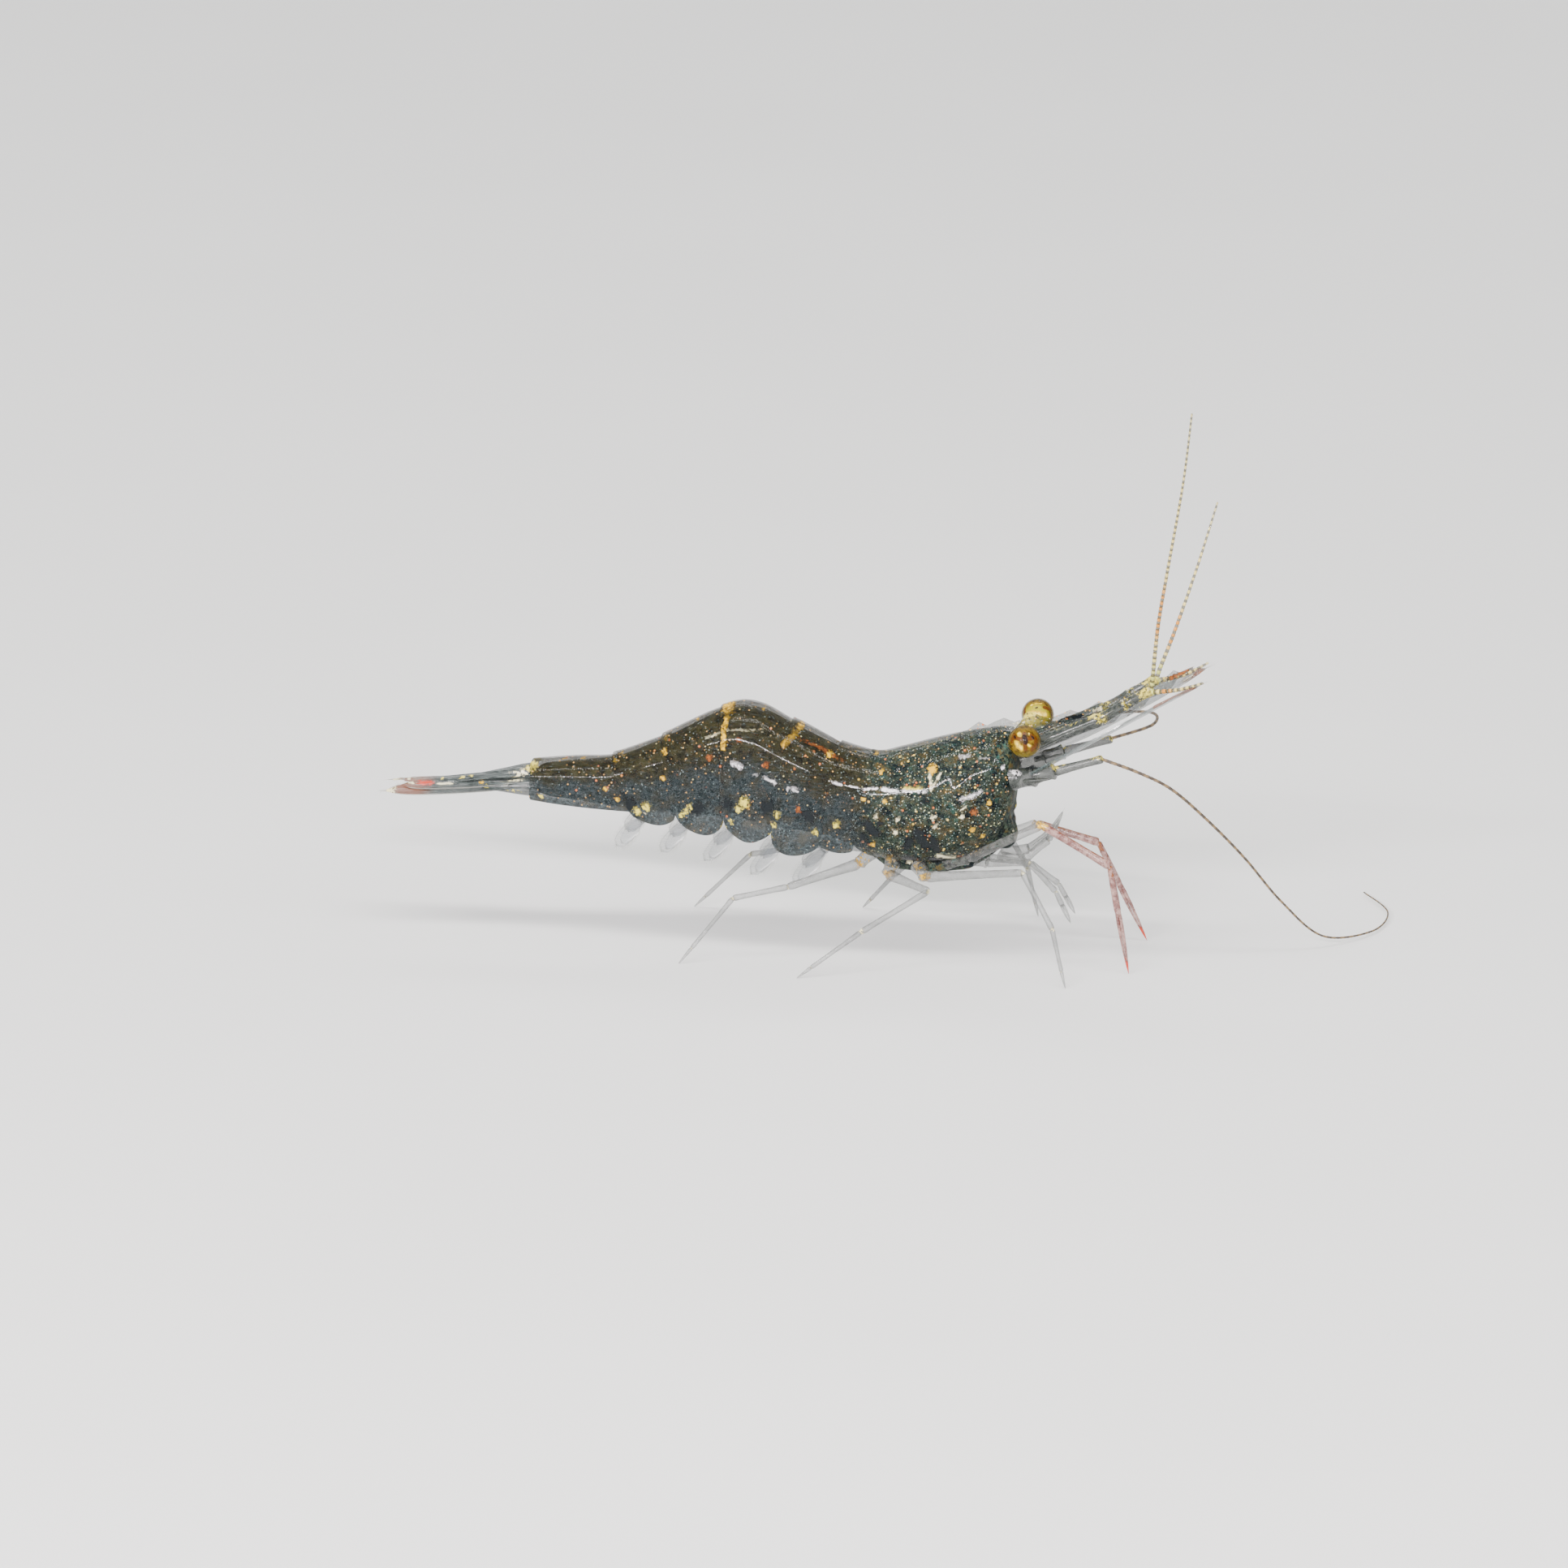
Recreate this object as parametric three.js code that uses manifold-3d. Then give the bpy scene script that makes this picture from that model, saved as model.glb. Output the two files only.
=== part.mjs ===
// A glass shrimp, 38 mm from the tip of its rostrum to its tail, walking on flat ground.
// Millimetres. +X runs towards the head, +Y to the animal's left and +Z up. Each foot ends in a flat at z = 0.
import * as THREE from "three";
import { mergeVertices } from "three/addons/utils/BufferGeometryUtils.js";
import Module from "manifold-3d";

const wasm = await Module();
wasm.setup();

// ---- driving dimensions ----
const GAP = 0.05; // clearance between neighbouring solids
const FEELER_RADIUS = 0.25; // thinnest feeler, for a thickness of 0.5
const BLADE_THICKNESS = 0.5; // tail blades, antennal scales and swimmerets
const FOOT_SINK = 0.12; // how far a foot is cut off by the ground, which leaves a flat
const BODY_SIDES = 20;
const LEG_SIDES = 7;
const SMALL_LIMB_SIDES = 6;
const SIDES = { right: -1, left: 1 };

// The body from brow to tail: a point on the back and one on the belly, as [x, z], and half its width.
const BODY = {
  brow: { back: [9.7, 10.3], belly: [9.55, 7.3], half: 1.0 },
  orbit: { back: [9.1, 10.7], belly: [9.1, 6.1], half: 1.6 },
  cheek: { back: [7.8, 10.55], belly: [8.0, 5.0], half: 2.05 },
  stomach: { back: [6.0, 10.1], belly: [6.2, 4.45], half: 2.25 },
  heart: { back: [4.2, 9.55], belly: [4.0, 4.4], half: 2.2 },
  waist: { back: [2.95, 9.25], belly: [2.2, 4.75], half: 2.05 },
  ring1: { back: [1.4, 9.5], belly: [0.5, 5.2], half: 2.05 },
  ring2: { back: [-0.8, 10.5], belly: [-1.5, 5.45], half: 2.05 },
  hump: { back: [-2.5, 11.25], belly: [-2.6, 5.6], half: 1.98 },
  ring3: { back: [-4.0, 11.1], belly: [-3.7, 5.75], half: 1.85 },
  ring4: { back: [-6.7, 9.65], belly: [-5.9, 5.9], half: 1.5 },
  ring5: { back: [-9.0, 8.6], belly: [-8.1, 6.0], half: 1.2 },
  loin: { back: [-11.0, 8.3], belly: [-10.8, 6.15], half: 1.05 },
  ring6: { back: [-12.95, 8.05], belly: [-12.9, 6.35], half: 0.9 },
};
const PLACES = Object.keys(BODY);
// Each ring of the abdomen runs between two of those places, and its side flaps hang by `flap` half heights.
const RINGS = [
  { front: "waist", rear: "ring1", flap: 0.1 },
  { front: "ring1", rear: "ring2", flap: 0.24 },
  { front: "ring2", rear: "ring3", flap: 0.2 },
  { front: "ring3", rear: "ring4", flap: 0.22 },
  { front: "ring4", rear: "ring5", flap: 0.2 },
  { front: "ring5", rear: "ring6", flap: 0 },
];
// The floor of the thorax, which the legs grow from: x, height of its underside and half width.
const STERNUM = [[2.6, 4.6, 0.5], [3.6, 4.0, 0.95], [5.6, 3.85, 1.05], [7.4, 4.1, 0.9], [8.6, 4.9, 0.5]];
const MOUTH = { centre: [9.05, 0, 5.75], size: [0.85, 0.8, 1.15] };
const EYE = { centre: [10.1, 2.15, 10.77], radius: 0.72 };
const EYESTALK = { joints: [[9.3, 0.45, 10.1], [9.72, 1.2, 10.45], [10.02, 1.95, 10.7]], radii: [0.36, 0.42, 0.6] };

// The rostrum is a thin toothed blade: its upper edge and its depth below each point of it.
const ROSTRUM = {
  ridge: [[6.4, 10.2], [8.3, 10.8], [12.0, 11.45], [15.1, 12.75], [17.5, 14.0]],
  depth: [0.5, 0.6, 1.0, 0.75, 0.15],
  thickness: 0.5,
  teeth: { above: 8, below: 3, height: 0.26 },
};

// Limbs of the animal's two sides. It is in mid stride, so they differ.
const WALKING_LEGS = {
  right: [
    [[5.1, -1.0, 4.2], [5.5, -1.75, 4.0], [10.2, -3.3, 4.9], [11.7, -4.3, 2.6], [12.4, -4.9, 0]],
    [[3.9, -0.9, 4.3], [3.75, -1.45, 3.95], [5.8, -2.8, 3.65], [2.9, -4.05, 1.95], [0.15, -5.3, 0]],
    [[2.9, -0.75, 4.6], [2.4, -1.3, 4.35], [-0.7, -2.5, 3.45], [-3.15, -3.0, 2.95], [-5.5, -4.0, 0]],
  ],
  left: [
    [[5.1, 1.0, 4.2], [5.5, 1.75, 4.0], [8.4, 3.6, 4.9], [9.3, 4.8, 2.6], [9.7, 5.6, 0]],
    [[3.9, 0.9, 4.3], [3.75, 1.45, 3.95], [4.9, 3.1, 3.9], [3.1, 4.5, 2.0], [1.5, 5.7, 0]],
    [[2.9, 0.75, 4.6], [2.4, 1.3, 4.35], [-0.3, 2.7, 3.9], [-3.4, 3.6, 3.0], [-6.2, 4.6, 0]],
  ],
};
const WALKING_RADII = [0.42, 0.38, 0.31, 0.27, 0.26];
// The big claws: hip, elbow, wrist, knuckle and fingertip, which rests on the ground.
const BIG_CLAWS = {
  right: [[6.3, -0.85, 4.35], [10.89, -2.2, 6.87], [14.05, -2.3, 5.09], [14.75, -2.3, 2.5], [14.95, -2.3, 0]],
  left: [[6.3, 0.85, 4.35], [10.1, 2.1, 5.6], [12.93, 2.2, 4.8], [14.25, 2.5, 2.3], [15.12, 2.8, 0]],
};
const BIG_CLAW_RADII = [0.42, 0.38, 0.32, 0.36, 0.26];
// The small claws, held forward under the head, and the outer mouth legs above them.
const SMALL_CLAWS = {
  right: [[7.5, -0.45, 4.35], [10.3, -1.75, 4.9], [11.5, -1.75, 3.6], [12.2, -1.7, 2.1]],
  left: [[7.5, 0.45, 4.35], [9.9, 1.45, 3.9], [11.2, 1.4, 3.0], [12.0, 1.3, 1.6]],
};
const SMALL_CLAW_RADII = [0.36, 0.32, 0.32, 0.25];
const MOUTH_LEG = { joints: [[8.7, 0.4, 4.75], [9.9, 0.85, 4.75], [11.0, 0.7, 5.7], [11.5, 0.55, 6.7]],
  radii: [0.33, 0.33, 0.3, 0.25] };

// The first feelers: a stout base in three lengths, a long upright whip and a short forward one.
const FIRST_FEELER = { joints: [[9.9, 0.8, 10.0], [13.4, 0.82, 11.6], [14.55, 0.85, 12.35], [15.7, 0.88, 13.1]],
  radii: [0.46, 0.44, 0.38, 0.34] };
const UPRIGHT_WHIP = {
  right: [[15.75, -0.88, 13.25], [16.05, -1.5, 16.25], [16.55, -2.2, 19.1], [17.35, -3.3, 23.45],
    [17.85, -4.2, 27.1]],
  left: [[15.75, 0.88, 13.25], [16.45, 1.4, 15.25], [17.3, 2.4, 17.95], [18.1, 3.5, 20.85]],
};
const FORWARD_WHIP = {
  right: [[15.9, -1.0, 13.0], [17.0, -1.35, 13.3], [18.2, -1.75, 13.8]],
  left: [[15.9, 1.0, 13.0], [16.9, 1.4, 13.2], [17.9, 1.9, 13.65]],
};
// The second feelers: a stout base, a broad scale and one whip as long as the body.
const SECOND_FEELER = { joints: [[9.6, 1.2, 8.7], [11.4, 1.6, 9.25], [13.5, 1.62, 9.93]], radii: [0.6, 0.46, 0.33] };
const SCALE = { root: [10.4, 1.6, 9.05], tip: [17.95, 1.5, 13.6], half: 0.92, roll: 12, widest: 0.5, point: 0.35 };
const LONG_WHIP = {
  right: [[13.6, -1.6, 9.95], [15.19, -1.4, 9.32], [16.69, -1.0, 8.46], [18.29, -0.3, 6.82], [19.87, 0.6, 4.85],
    [21.41, 1.6, 2.59], [23.2, 2.9, 0.6], [25.2, 5.2, 0.2], [25.6, 8.2, 0.2], [24.2, 11.0, 0.2]],
  left: [[13.6, 1.6, 9.95], [15.3, 3.0, 10.3], [14.6, 5.6, 10.1], [10.5, 8.0, 8.8], [5.0, 9.3, 6.6],
    [-1.0, 9.6, 6.4], [-7.0, 9.6, 5.4], [-11.0, 9.2, 4.4]],
};
const WHIP_LENGTHS = ["base", "middle", "tip"];

// The tail: a narrow middle plate with two blades on each side, laid like a half-closed fan.
const TELSON = { root: [-12.8, 0, 7.6], tip: [-18.4, 0, 7.3], half: 0.5, roll: 0, widest: 0.2, point: 0.4 };
const INNER_BLADE = { root: [-12.9, 0.3, 7.1], tip: [-19.0, 0.65, 6.95], half: 0.6, roll: -24, widest: 0.6,
  point: 0.5 };
const OUTER_BLADE = { root: [-12.9, 0.5, 6.75], tip: [-19.6, 1.35, 6.75], half: 0.66, roll: -36, widest: 0.65,
  point: 0.6 };
// A pair of swimmerets under each of the first five rings.
const SWIMMERET = { lengths: [3.4, 3.5, 3.4, 3.0, 2.6], apart: 0.62, half: 0.5, back: 38, out: 10, roll: 35,
  widest: 0.55, point: 0.45 };

// ---- materials ----
const finish = (color, roughness) => new THREE.MeshStandardMaterial({ color, roughness, metalness: 0 });
const SHELL = () => finish(0x66706a, 0.25);
const FLESH = () => finish(0x5c6660, 0.4);
const LIMB = () => finish(0x8b8f88, 0.35);
const CLAW = () => finish(0xb08f86, 0.35);
const EYE_GOLD = () => finish(0xc4932c, 0.15);
const FEELER = () => finish(0xb0a564, 0.45);
const DARK_FEELER = () => finish(0x5a4434, 0.45);
const FAN = () => finish(0x80867f, 0.3);

// ---- solids ----
const vector = ([x, y, z]) => new THREE.Vector3(x, y, z);
const mirror = (point, sign) => [point[0], point[1] * sign, point[2]];
const spread = (from, to, steps) =>
  Array.from({ length: steps + 1 }, (_, i) => THREE.MathUtils.lerp(from, to, i / steps));
const curveThrough = (points) => new THREE.CatmullRomCurve3(points, false, "centripetal");

function solid(geometry) {
  const bare = geometry.clone();
  bare.deleteAttribute("normal");
  bare.deleteAttribute("uv");
  const merged = mergeVertices(bare, 1e-4);
  return new wasm.Manifold(
    new wasm.Mesh({
      numProp: 3,
      vertProperties: merged.attributes.position.array,
      triVerts: new Uint32Array(merged.index.array),
    }),
  );
}

function geometryOf(made) {
  const { vertProperties, triVerts } = made.getMesh();
  const geometry = new THREE.BufferGeometry();
  geometry.setAttribute("position", new THREE.BufferAttribute(vertProperties, 3));
  geometry.setIndex(new THREE.BufferAttribute(triVerts, 1));
  geometry.computeVertexNormals();
  return geometry;
}

// A closed skin over a row of outlines that all have the same number of points.
function loft(outlines) {
  const count = outlines[0].length;
  const points = outlines.flat();
  const faces = [];
  for (let row = 0; row + 1 < outlines.length; row++) {
    for (let k = 0; k < count; k++) {
      const a = row * count + k;
      const b = row * count + ((k + 1) % count);
      faces.push([a, b, b + count], [a, b + count, a + count]);
    }
  }
  for (const [row, flip] of [[0, true], [outlines.length - 1, false]]) {
    for (const [a, b, c] of capOf(outlines[row])) {
      const face = [a, b, c].map((k) => row * count + k);
      faces.push(flip ? face.reverse() : face);
    }
  }
  const inward = faces.reduce((sum, [a, b, c]) => sum + points[a].dot(points[b].clone().cross(points[c])), 0) < 0;
  const geometry = new THREE.BufferGeometry().setFromPoints(points);
  geometry.setIndex(faces.flatMap((face) => (inward ? face.toReversed() : face)));
  return solid(geometry);
}

// Triangles that close one flat outline, wound the way the outline runs.
function capOf(outline) {
  const middle = outline.reduce((sum, p) => sum.add(p), new THREE.Vector3()).divideScalar(outline.length);
  const spokes = outline.map((p) => p.clone().sub(middle));
  const normal = new THREE.Vector3();
  spokes.forEach((spoke, k) => normal.add(spoke.clone().cross(spokes[(k + 1) % spokes.length])));
  normal.normalize();
  const across = spokes[0].clone().projectOnPlane(normal).normalize();
  const up = normal.clone().cross(across);
  const flat = spokes.map((spoke) => new THREE.Vector2(spoke.dot(across), spoke.dot(up)));
  return THREE.ShapeUtils.triangulateShape(flat, []);
}

// Each of the shapes below can be made a little larger all round, by `grow`, as the room its node takes.
function ball(centre, size, across, down, grow) {
  const geometry = new THREE.SphereGeometry(1, across, down);
  geometry.scale(...size.map((radius) => radius + grow));
  geometry.translate(...centre);
  return solid(geometry);
}

// A limb: tapering lengths between round joints. What would pass through the ground is cut off flat.
function limb(joints, radii, grow, sides = SMALL_LIMB_SIDES) {
  const knobs = joints.map((joint, i) => ball(joint, Array(3).fill(radii[i]), sides, 4, grow));
  const lengths = knobs.slice(1).map((knob, i) => wasm.Manifold.hull([knobs[i], knob]));
  return wasm.Manifold.union(lengths).trimByPlane([0, 0, 1], 0);
}

// A limb whose last joint stands on the ground.
function standing(joints, radii, grow) {
  const foot = joints.at(-1);
  const height = radii.at(-1) - FOOT_SINK;
  return limb([...joints.slice(0, -1), [foot[0], foot[1], height]], radii, grow, LEG_SIDES);
}

// A feeler: a smooth curve through its points, from one share of its length to another.
function whip(points, { from = 0, to = 1, thick = FEELER_RADIUS + 0.06, steps = 8 }, grow) {
  const curve = curveThrough(points.map(vector));
  let side = new THREE.Vector3(1, 0, 0);
  const rings = spread(from, to, steps).map((share) => {
    const centre = curve.getPointAt(share);
    const tangent = curve.getTangentAt(share);
    side = side.clone().projectOnPlane(tangent).normalize();
    const other = tangent.clone().cross(side);
    const radius = THREE.MathUtils.lerp(thick, FEELER_RADIUS, share) + grow;
    return Array.from({ length: 6 }, (_, k) => {
      const angle = (k / 6) * 2 * Math.PI;
      return centre.clone()
        .addScaledVector(side, radius * Math.cos(angle))
        .addScaledVector(other, radius * Math.sin(angle));
    });
  });
  return loft(rings).trimByPlane([0, 0, 1], 0);
}

// A leaf-shaped blade from root to tip, rolled about its own length by degrees.
function blade({ root, tip, half, roll, widest, point }, grow) {
  const length = vector(root).distanceTo(vector(tip)) + grow;
  const belly = length * widest;
  const wide = half + grow;
  const outline = new THREE.Shape();
  outline.moveTo(-grow, -wide * 0.4);
  outline.quadraticCurveTo(belly * 0.5, -wide, belly, -wide);
  outline.quadraticCurveTo(length * 0.95, -wide, length, -wide * point);
  outline.lineTo(length, wide * point);
  outline.quadraticCurveTo(length * 0.95, wide, belly, wide);
  outline.quadraticCurveTo(belly * 0.5, wide, -grow, wide * 0.4);
  outline.closePath();
  const depth = BLADE_THICKNESS + 2 * grow;
  const geometry = new THREE.ExtrudeGeometry(outline, { depth, bevelEnabled: false, curveSegments: 4 });
  geometry.translate(0, 0, -depth / 2);
  const along = vector(tip).sub(vector(root)).normalize();
  const across = new THREE.Vector3(0, 0, 1).cross(along).normalize();
  const up = along.clone().cross(across);
  geometry.rotateX(THREE.MathUtils.degToRad(roll));
  geometry.applyMatrix4(new THREE.Matrix4().makeBasis(along, across, up).setPosition(vector(root)));
  return solid(geometry);
}

// The blade's twin on one side of the animal.
const bladeOn = (sign, leaf, grow) =>
  blade({ ...leaf, root: mirror(leaf.root, sign), tip: mirror(leaf.tip, sign), roll: leaf.roll * sign }, grow);

// ---- nodes ----
const shrimp = new THREE.Group();
const rooms = []; // what each node takes up, with the gap round it

function boxesMeet(a, b) {
  return [0, 1, 2].every((i) => a.min[i] < b.max[i] && b.min[i] < a.max[i]);
}

// Adds a node from a function of how much to grow it, cut back from the room of those already there.
function add(name, shape, material) {
  const whole = shape(0);
  const near = rooms.filter((room) => boxesMeet(whole.boundingBox(), room.boundingBox()));
  const cut = near.reduce((left, room) => left.subtract(room), whole);
  const made = cut.decompose().reduce((a, b) => (b.volume() > a.volume() ? b : a));
  rooms.push(shape(GAP));
  const mesh = new THREE.Mesh(geometryOf(made), material);
  mesh.name = name;
  shrimp.add(mesh);
}

// ---- body ----
const backLine = curveThrough(Object.values(BODY).map(({ back, half }) => vector([back[0], half, back[1]])));
const bellyLine = curveThrough(Object.values(BODY).map(({ belly }) => vector([belly[0], 0, belly[1]])));

// The body's cross-section at a place, which counts along PLACES and may be a fraction.
function sectionAt(place) {
  const share = place / (PLACES.length - 1);
  const back = backLine.getPoint(share);
  const belly = bellyLine.getPoint(share);
  const half = back.y;
  back.y = 0;
  return { middle: back.clone().lerp(belly, 0.5), up: back.clone().sub(belly).multiplyScalar(0.5), half };
}

// An outline given in half widths and half heights, set in the body's cross-section at a place.
function placed(outline, place, grow) {
  const { middle, up, half } = sectionAt(place);
  up.setLength(up.length() + grow);
  const side = new THREE.Vector3(0, half + grow, 0);
  return outline.map(([a, b]) => middle.clone().addScaledVector(up, b).addScaledVector(side, a));
}

const EGG = spread(0, 2 * Math.PI, BODY_SIDES).slice(1).map((angle) => {
  const fuller = (v) => Math.sign(v) * Math.abs(v) ** 0.88;
  return [fuller(Math.cos(angle)) * (1 - 0.14 * Math.sin(angle)), fuller(Math.sin(angle))];
});

// A ring of the abdomen in section: an arched back, a flap down each side and the belly between them.
function arch(flap) {
  const side = [[0.52, -0.78], [0.62, -0.9 - flap * 0.5], [0.76, -0.96 - flap], [0.92, -0.9 - flap * 0.8],
    [1, -0.5], [1, -0.05], [0.92, 0.38], [0.73, 0.7], [0.4, 0.93]];
  return [...side, [0, 1], ...side.toReversed().map(([a, b]) => [-a, b]), [0, -0.8]];
}

function carapace(grow) {
  return loft(spread(0, PLACES.indexOf("waist") - 0.02, 10).map((place) => placed(EGG, place, grow)));
}

function abdomenRing({ front, rear, flap }, grow) {
  const [from, to] = [PLACES.indexOf(front) + 0.02, PLACES.indexOf(rear) - 0.02];
  const steps = Math.round(2.5 * (to - from)) + 1;
  return loft(spread(0, 1, steps).map((share) =>
    placed(arch(flap * Math.sin(Math.PI * share)), THREE.MathUtils.lerp(from, to, share), grow)));
}

function sternum(grow) {
  return loft(STERNUM.map(([x, z, half]) => {
    const [wide, low] = [half + grow, z - grow];
    return [[-wide, low + 0.35], [-wide * 0.7, low], [wide * 0.7, low], [wide, low + 0.35], [wide, 5.8], [-wide, 5.8]]
      .map(([y, height]) => vector([x, y, height]));
  }));
}

add("carapace", carapace, SHELL());
RINGS.forEach((ring, i) => add(`abdomen_ring_${i + 1}`, (grow) => abdomenRing(ring, grow), SHELL()));
add("thorax_underside", sternum, FLESH());
add("mouthparts", (grow) => ball(MOUTH.centre, MOUTH.size, 10, 7, grow), FLESH());

// ---- eyes and rostrum ----
for (const [side, sign] of Object.entries(SIDES)) {
  const eye = (grow) => ball(mirror(EYE.centre, sign), Array(3).fill(EYE.radius), 12, 8, grow);
  add(`eye_${side}`, eye, EYE_GOLD());
  const stalk = EYESTALK.joints.map((p) => mirror(p, sign));
  add(`eyestalk_${side}`, (grow) => limb(stalk, EYESTALK.radii, grow), FLESH());
}

function rostrum({ ridge, depth, thickness, teeth }, grow) {
  const upper = curveThrough(ridge.map(([x, z]) => new THREE.Vector3(x, z + grow, 0)));
  const lower = curveThrough(ridge.map(([x, z], i) => new THREE.Vector3(x, z - depth[i] - grow, 0)));
  const outline = new THREE.Shape();
  const lineTo = (p, lift = 0) => outline.lineTo(p.x, p.y + lift);
  const start = upper.getPoint(0);
  outline.moveTo(start.x, start.y);
  for (const foot of spread(0.14, 0.84, teeth.above - 1)) {
    lineTo(upper.getPoint(foot));
    lineTo(upper.getPoint(foot + 0.075), teeth.height);
  }
  lineTo(upper.getPoint(1));
  lineTo(lower.getPoint(1));
  for (const foot of spread(0.88, 0.62, teeth.below - 1)) {
    lineTo(lower.getPoint(foot), -teeth.height * 0.7);
    lineTo(lower.getPoint(foot - 0.05));
  }
  for (const share of [0.4, 0.25, 0]) lineTo(lower.getPoint(share));
  outline.closePath();
  const thick = thickness + 2 * grow;
  const geometry = new THREE.ExtrudeGeometry(outline, { depth: thick, bevelEnabled: false });
  geometry.rotateX(Math.PI / 2);
  geometry.translate(0, thick / 2, 0);
  return solid(geometry);
}
add("rostrum", (grow) => rostrum(ROSTRUM, grow), SHELL());

// ---- limbs and feelers ----
for (const [side, sign] of Object.entries(SIDES)) {
  const own = (joints) => joints.map((p) => mirror(p, sign));
  add(`claw_leg_2_${side}`, (grow) => standing(BIG_CLAWS[side], BIG_CLAW_RADII, grow), CLAW());
  WALKING_LEGS[side].forEach((joints, i) =>
    add(`walking_leg_${i + 3}_${side}`, (grow) => standing(joints, WALKING_RADII, grow), LIMB()));
  add(`claw_leg_1_${side}`, (grow) => limb(SMALL_CLAWS[side], SMALL_CLAW_RADII, grow), LIMB());
  add(`mouth_leg_${side}`, (grow) => limb(own(MOUTH_LEG.joints), MOUTH_LEG.radii, grow), LIMB());

  const firstBase = own(FIRST_FEELER.joints);
  add(`antennule_base_${side}`, (grow) => limb(firstBase, FIRST_FEELER.radii, grow), LIMB());
  add(`antennule_upright_whip_${side}`, (grow) => whip(UPRIGHT_WHIP[side], {}, grow), FEELER());
  add(`antennule_forward_whip_${side}`, (grow) => whip(FORWARD_WHIP[side], { steps: 4 }, grow), FEELER());

  const secondBase = own(SECOND_FEELER.joints);
  add(`antenna_base_${side}`, (grow) => limb(secondBase, SECOND_FEELER.radii, grow), LIMB());
  add(`antenna_scale_${side}`, (grow) => bladeOn(sign, SCALE, grow), FAN());
  WHIP_LENGTHS.forEach((length, i) => {
    const [from, to] = [i, i + 1].map((end) => end / WHIP_LENGTHS.length);
    add(`antenna_whip_${length}_${side}`, (grow) => whip(LONG_WHIP[side], { from, to }, grow), DARK_FEELER());
  });
}

// ---- tail fan and swimmerets ----
add("telson", (grow) => blade(TELSON, grow), FAN());
for (const [side, sign] of Object.entries(SIDES)) {
  add(`tail_inner_blade_${side}`, (grow) => bladeOn(sign, INNER_BLADE, grow), FAN());
  add(`tail_outer_blade_${side}`, (grow) => bladeOn(sign, OUTER_BLADE, grow), FAN());
}
SWIMMERET.lengths.forEach((length, i) => {
  const { front, rear } = RINGS[i];
  const { middle, up } = sectionAt((PLACES.indexOf(front) + PLACES.indexOf(rear)) / 2);
  const root = middle.addScaledVector(up, -0.6);
  const [back, out] = [SWIMMERET.back, SWIMMERET.out].map(THREE.MathUtils.degToRad);
  const reach = new THREE.Vector3(-Math.sin(back), Math.sin(out), -Math.cos(back)).multiplyScalar(length);
  const leaf = {
    ...SWIMMERET,
    root: [root.x, SWIMMERET.apart, root.z],
    tip: [root.x + reach.x, SWIMMERET.apart + reach.y, root.z + reach.z],
  };
  for (const [side, sign] of Object.entries(SIDES)) {
    add(`swimmeret_${i + 1}_${side}`, (grow) => bladeOn(sign, leaf, grow), FAN());
  }
});

// The origin is on the ground, under the middle of the whole animal.
const middle = new THREE.Box3().setFromObject(shrimp).getCenter(new THREE.Vector3());
shrimp.position.set(-middle.x, -middle.y, 0);

export default shrimp;
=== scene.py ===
# %% [markdown]
# # A glass shrimp, walking
# The subject is a small freshwater shrimp, 38 mm from the tip of its snout to its tail. Its shell is as clear
# as a fingernail, its flesh is smoky, and flecks of gold lie just under the surface. The script loads the solid
# model first, then builds a finer skin, part by part, in the same places.

# %% Load the frame
import math

import bpy
import numpy as np
from mathutils import Matrix, Vector


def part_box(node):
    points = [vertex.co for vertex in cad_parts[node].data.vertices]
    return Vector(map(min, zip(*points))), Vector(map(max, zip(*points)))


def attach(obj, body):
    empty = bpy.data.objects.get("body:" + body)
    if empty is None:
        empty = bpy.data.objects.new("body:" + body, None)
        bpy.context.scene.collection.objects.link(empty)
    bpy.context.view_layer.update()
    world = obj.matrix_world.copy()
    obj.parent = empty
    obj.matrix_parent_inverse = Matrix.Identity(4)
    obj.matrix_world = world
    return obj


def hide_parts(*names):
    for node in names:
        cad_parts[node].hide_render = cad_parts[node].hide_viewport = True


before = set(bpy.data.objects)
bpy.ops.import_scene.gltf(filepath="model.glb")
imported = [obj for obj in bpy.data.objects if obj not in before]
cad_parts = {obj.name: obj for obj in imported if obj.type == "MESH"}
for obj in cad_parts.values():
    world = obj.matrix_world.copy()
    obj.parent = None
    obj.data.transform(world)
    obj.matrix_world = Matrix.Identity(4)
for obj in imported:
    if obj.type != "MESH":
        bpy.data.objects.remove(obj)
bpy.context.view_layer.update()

# %% [markdown]
# ## Working in millimetres
# A shrimp is too small to think about in metres. Every part below is made in the animal's own millimetres: x
# runs towards the head, y to its left and z up from the ground. The last step of each part scales it by a
# thousandth and moves it to where the solid model stands, which is found from the middle of one eye.

# %% Millimetres and the hand-over of a piece
MM = 0.001
EYE_CENTRE = (10.1, 2.15, 10.77)
eye_low, eye_high = (Vector(corner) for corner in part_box("eye_right"))
ORIGIN = (eye_low + eye_high) / 2 - Vector((EYE_CENTRE[0], -EYE_CENTRE[1], EYE_CENTRE[2])) * MM
SIDES = {"right": -1, "left": 1}


def only(*pieces):
    """Select these pieces and nothing else."""
    bpy.ops.object.select_all(action="DESELECT")
    for piece in pieces:
        piece.select_set(True)
    if pieces:
        bpy.context.view_layer.objects.active = pieces[0]


def settle(piece):
    """Write a piece's place, turn and size into its mesh."""
    only(piece)
    bpy.ops.object.transform_apply(location=True, rotation=True, scale=True)
    return piece


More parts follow.
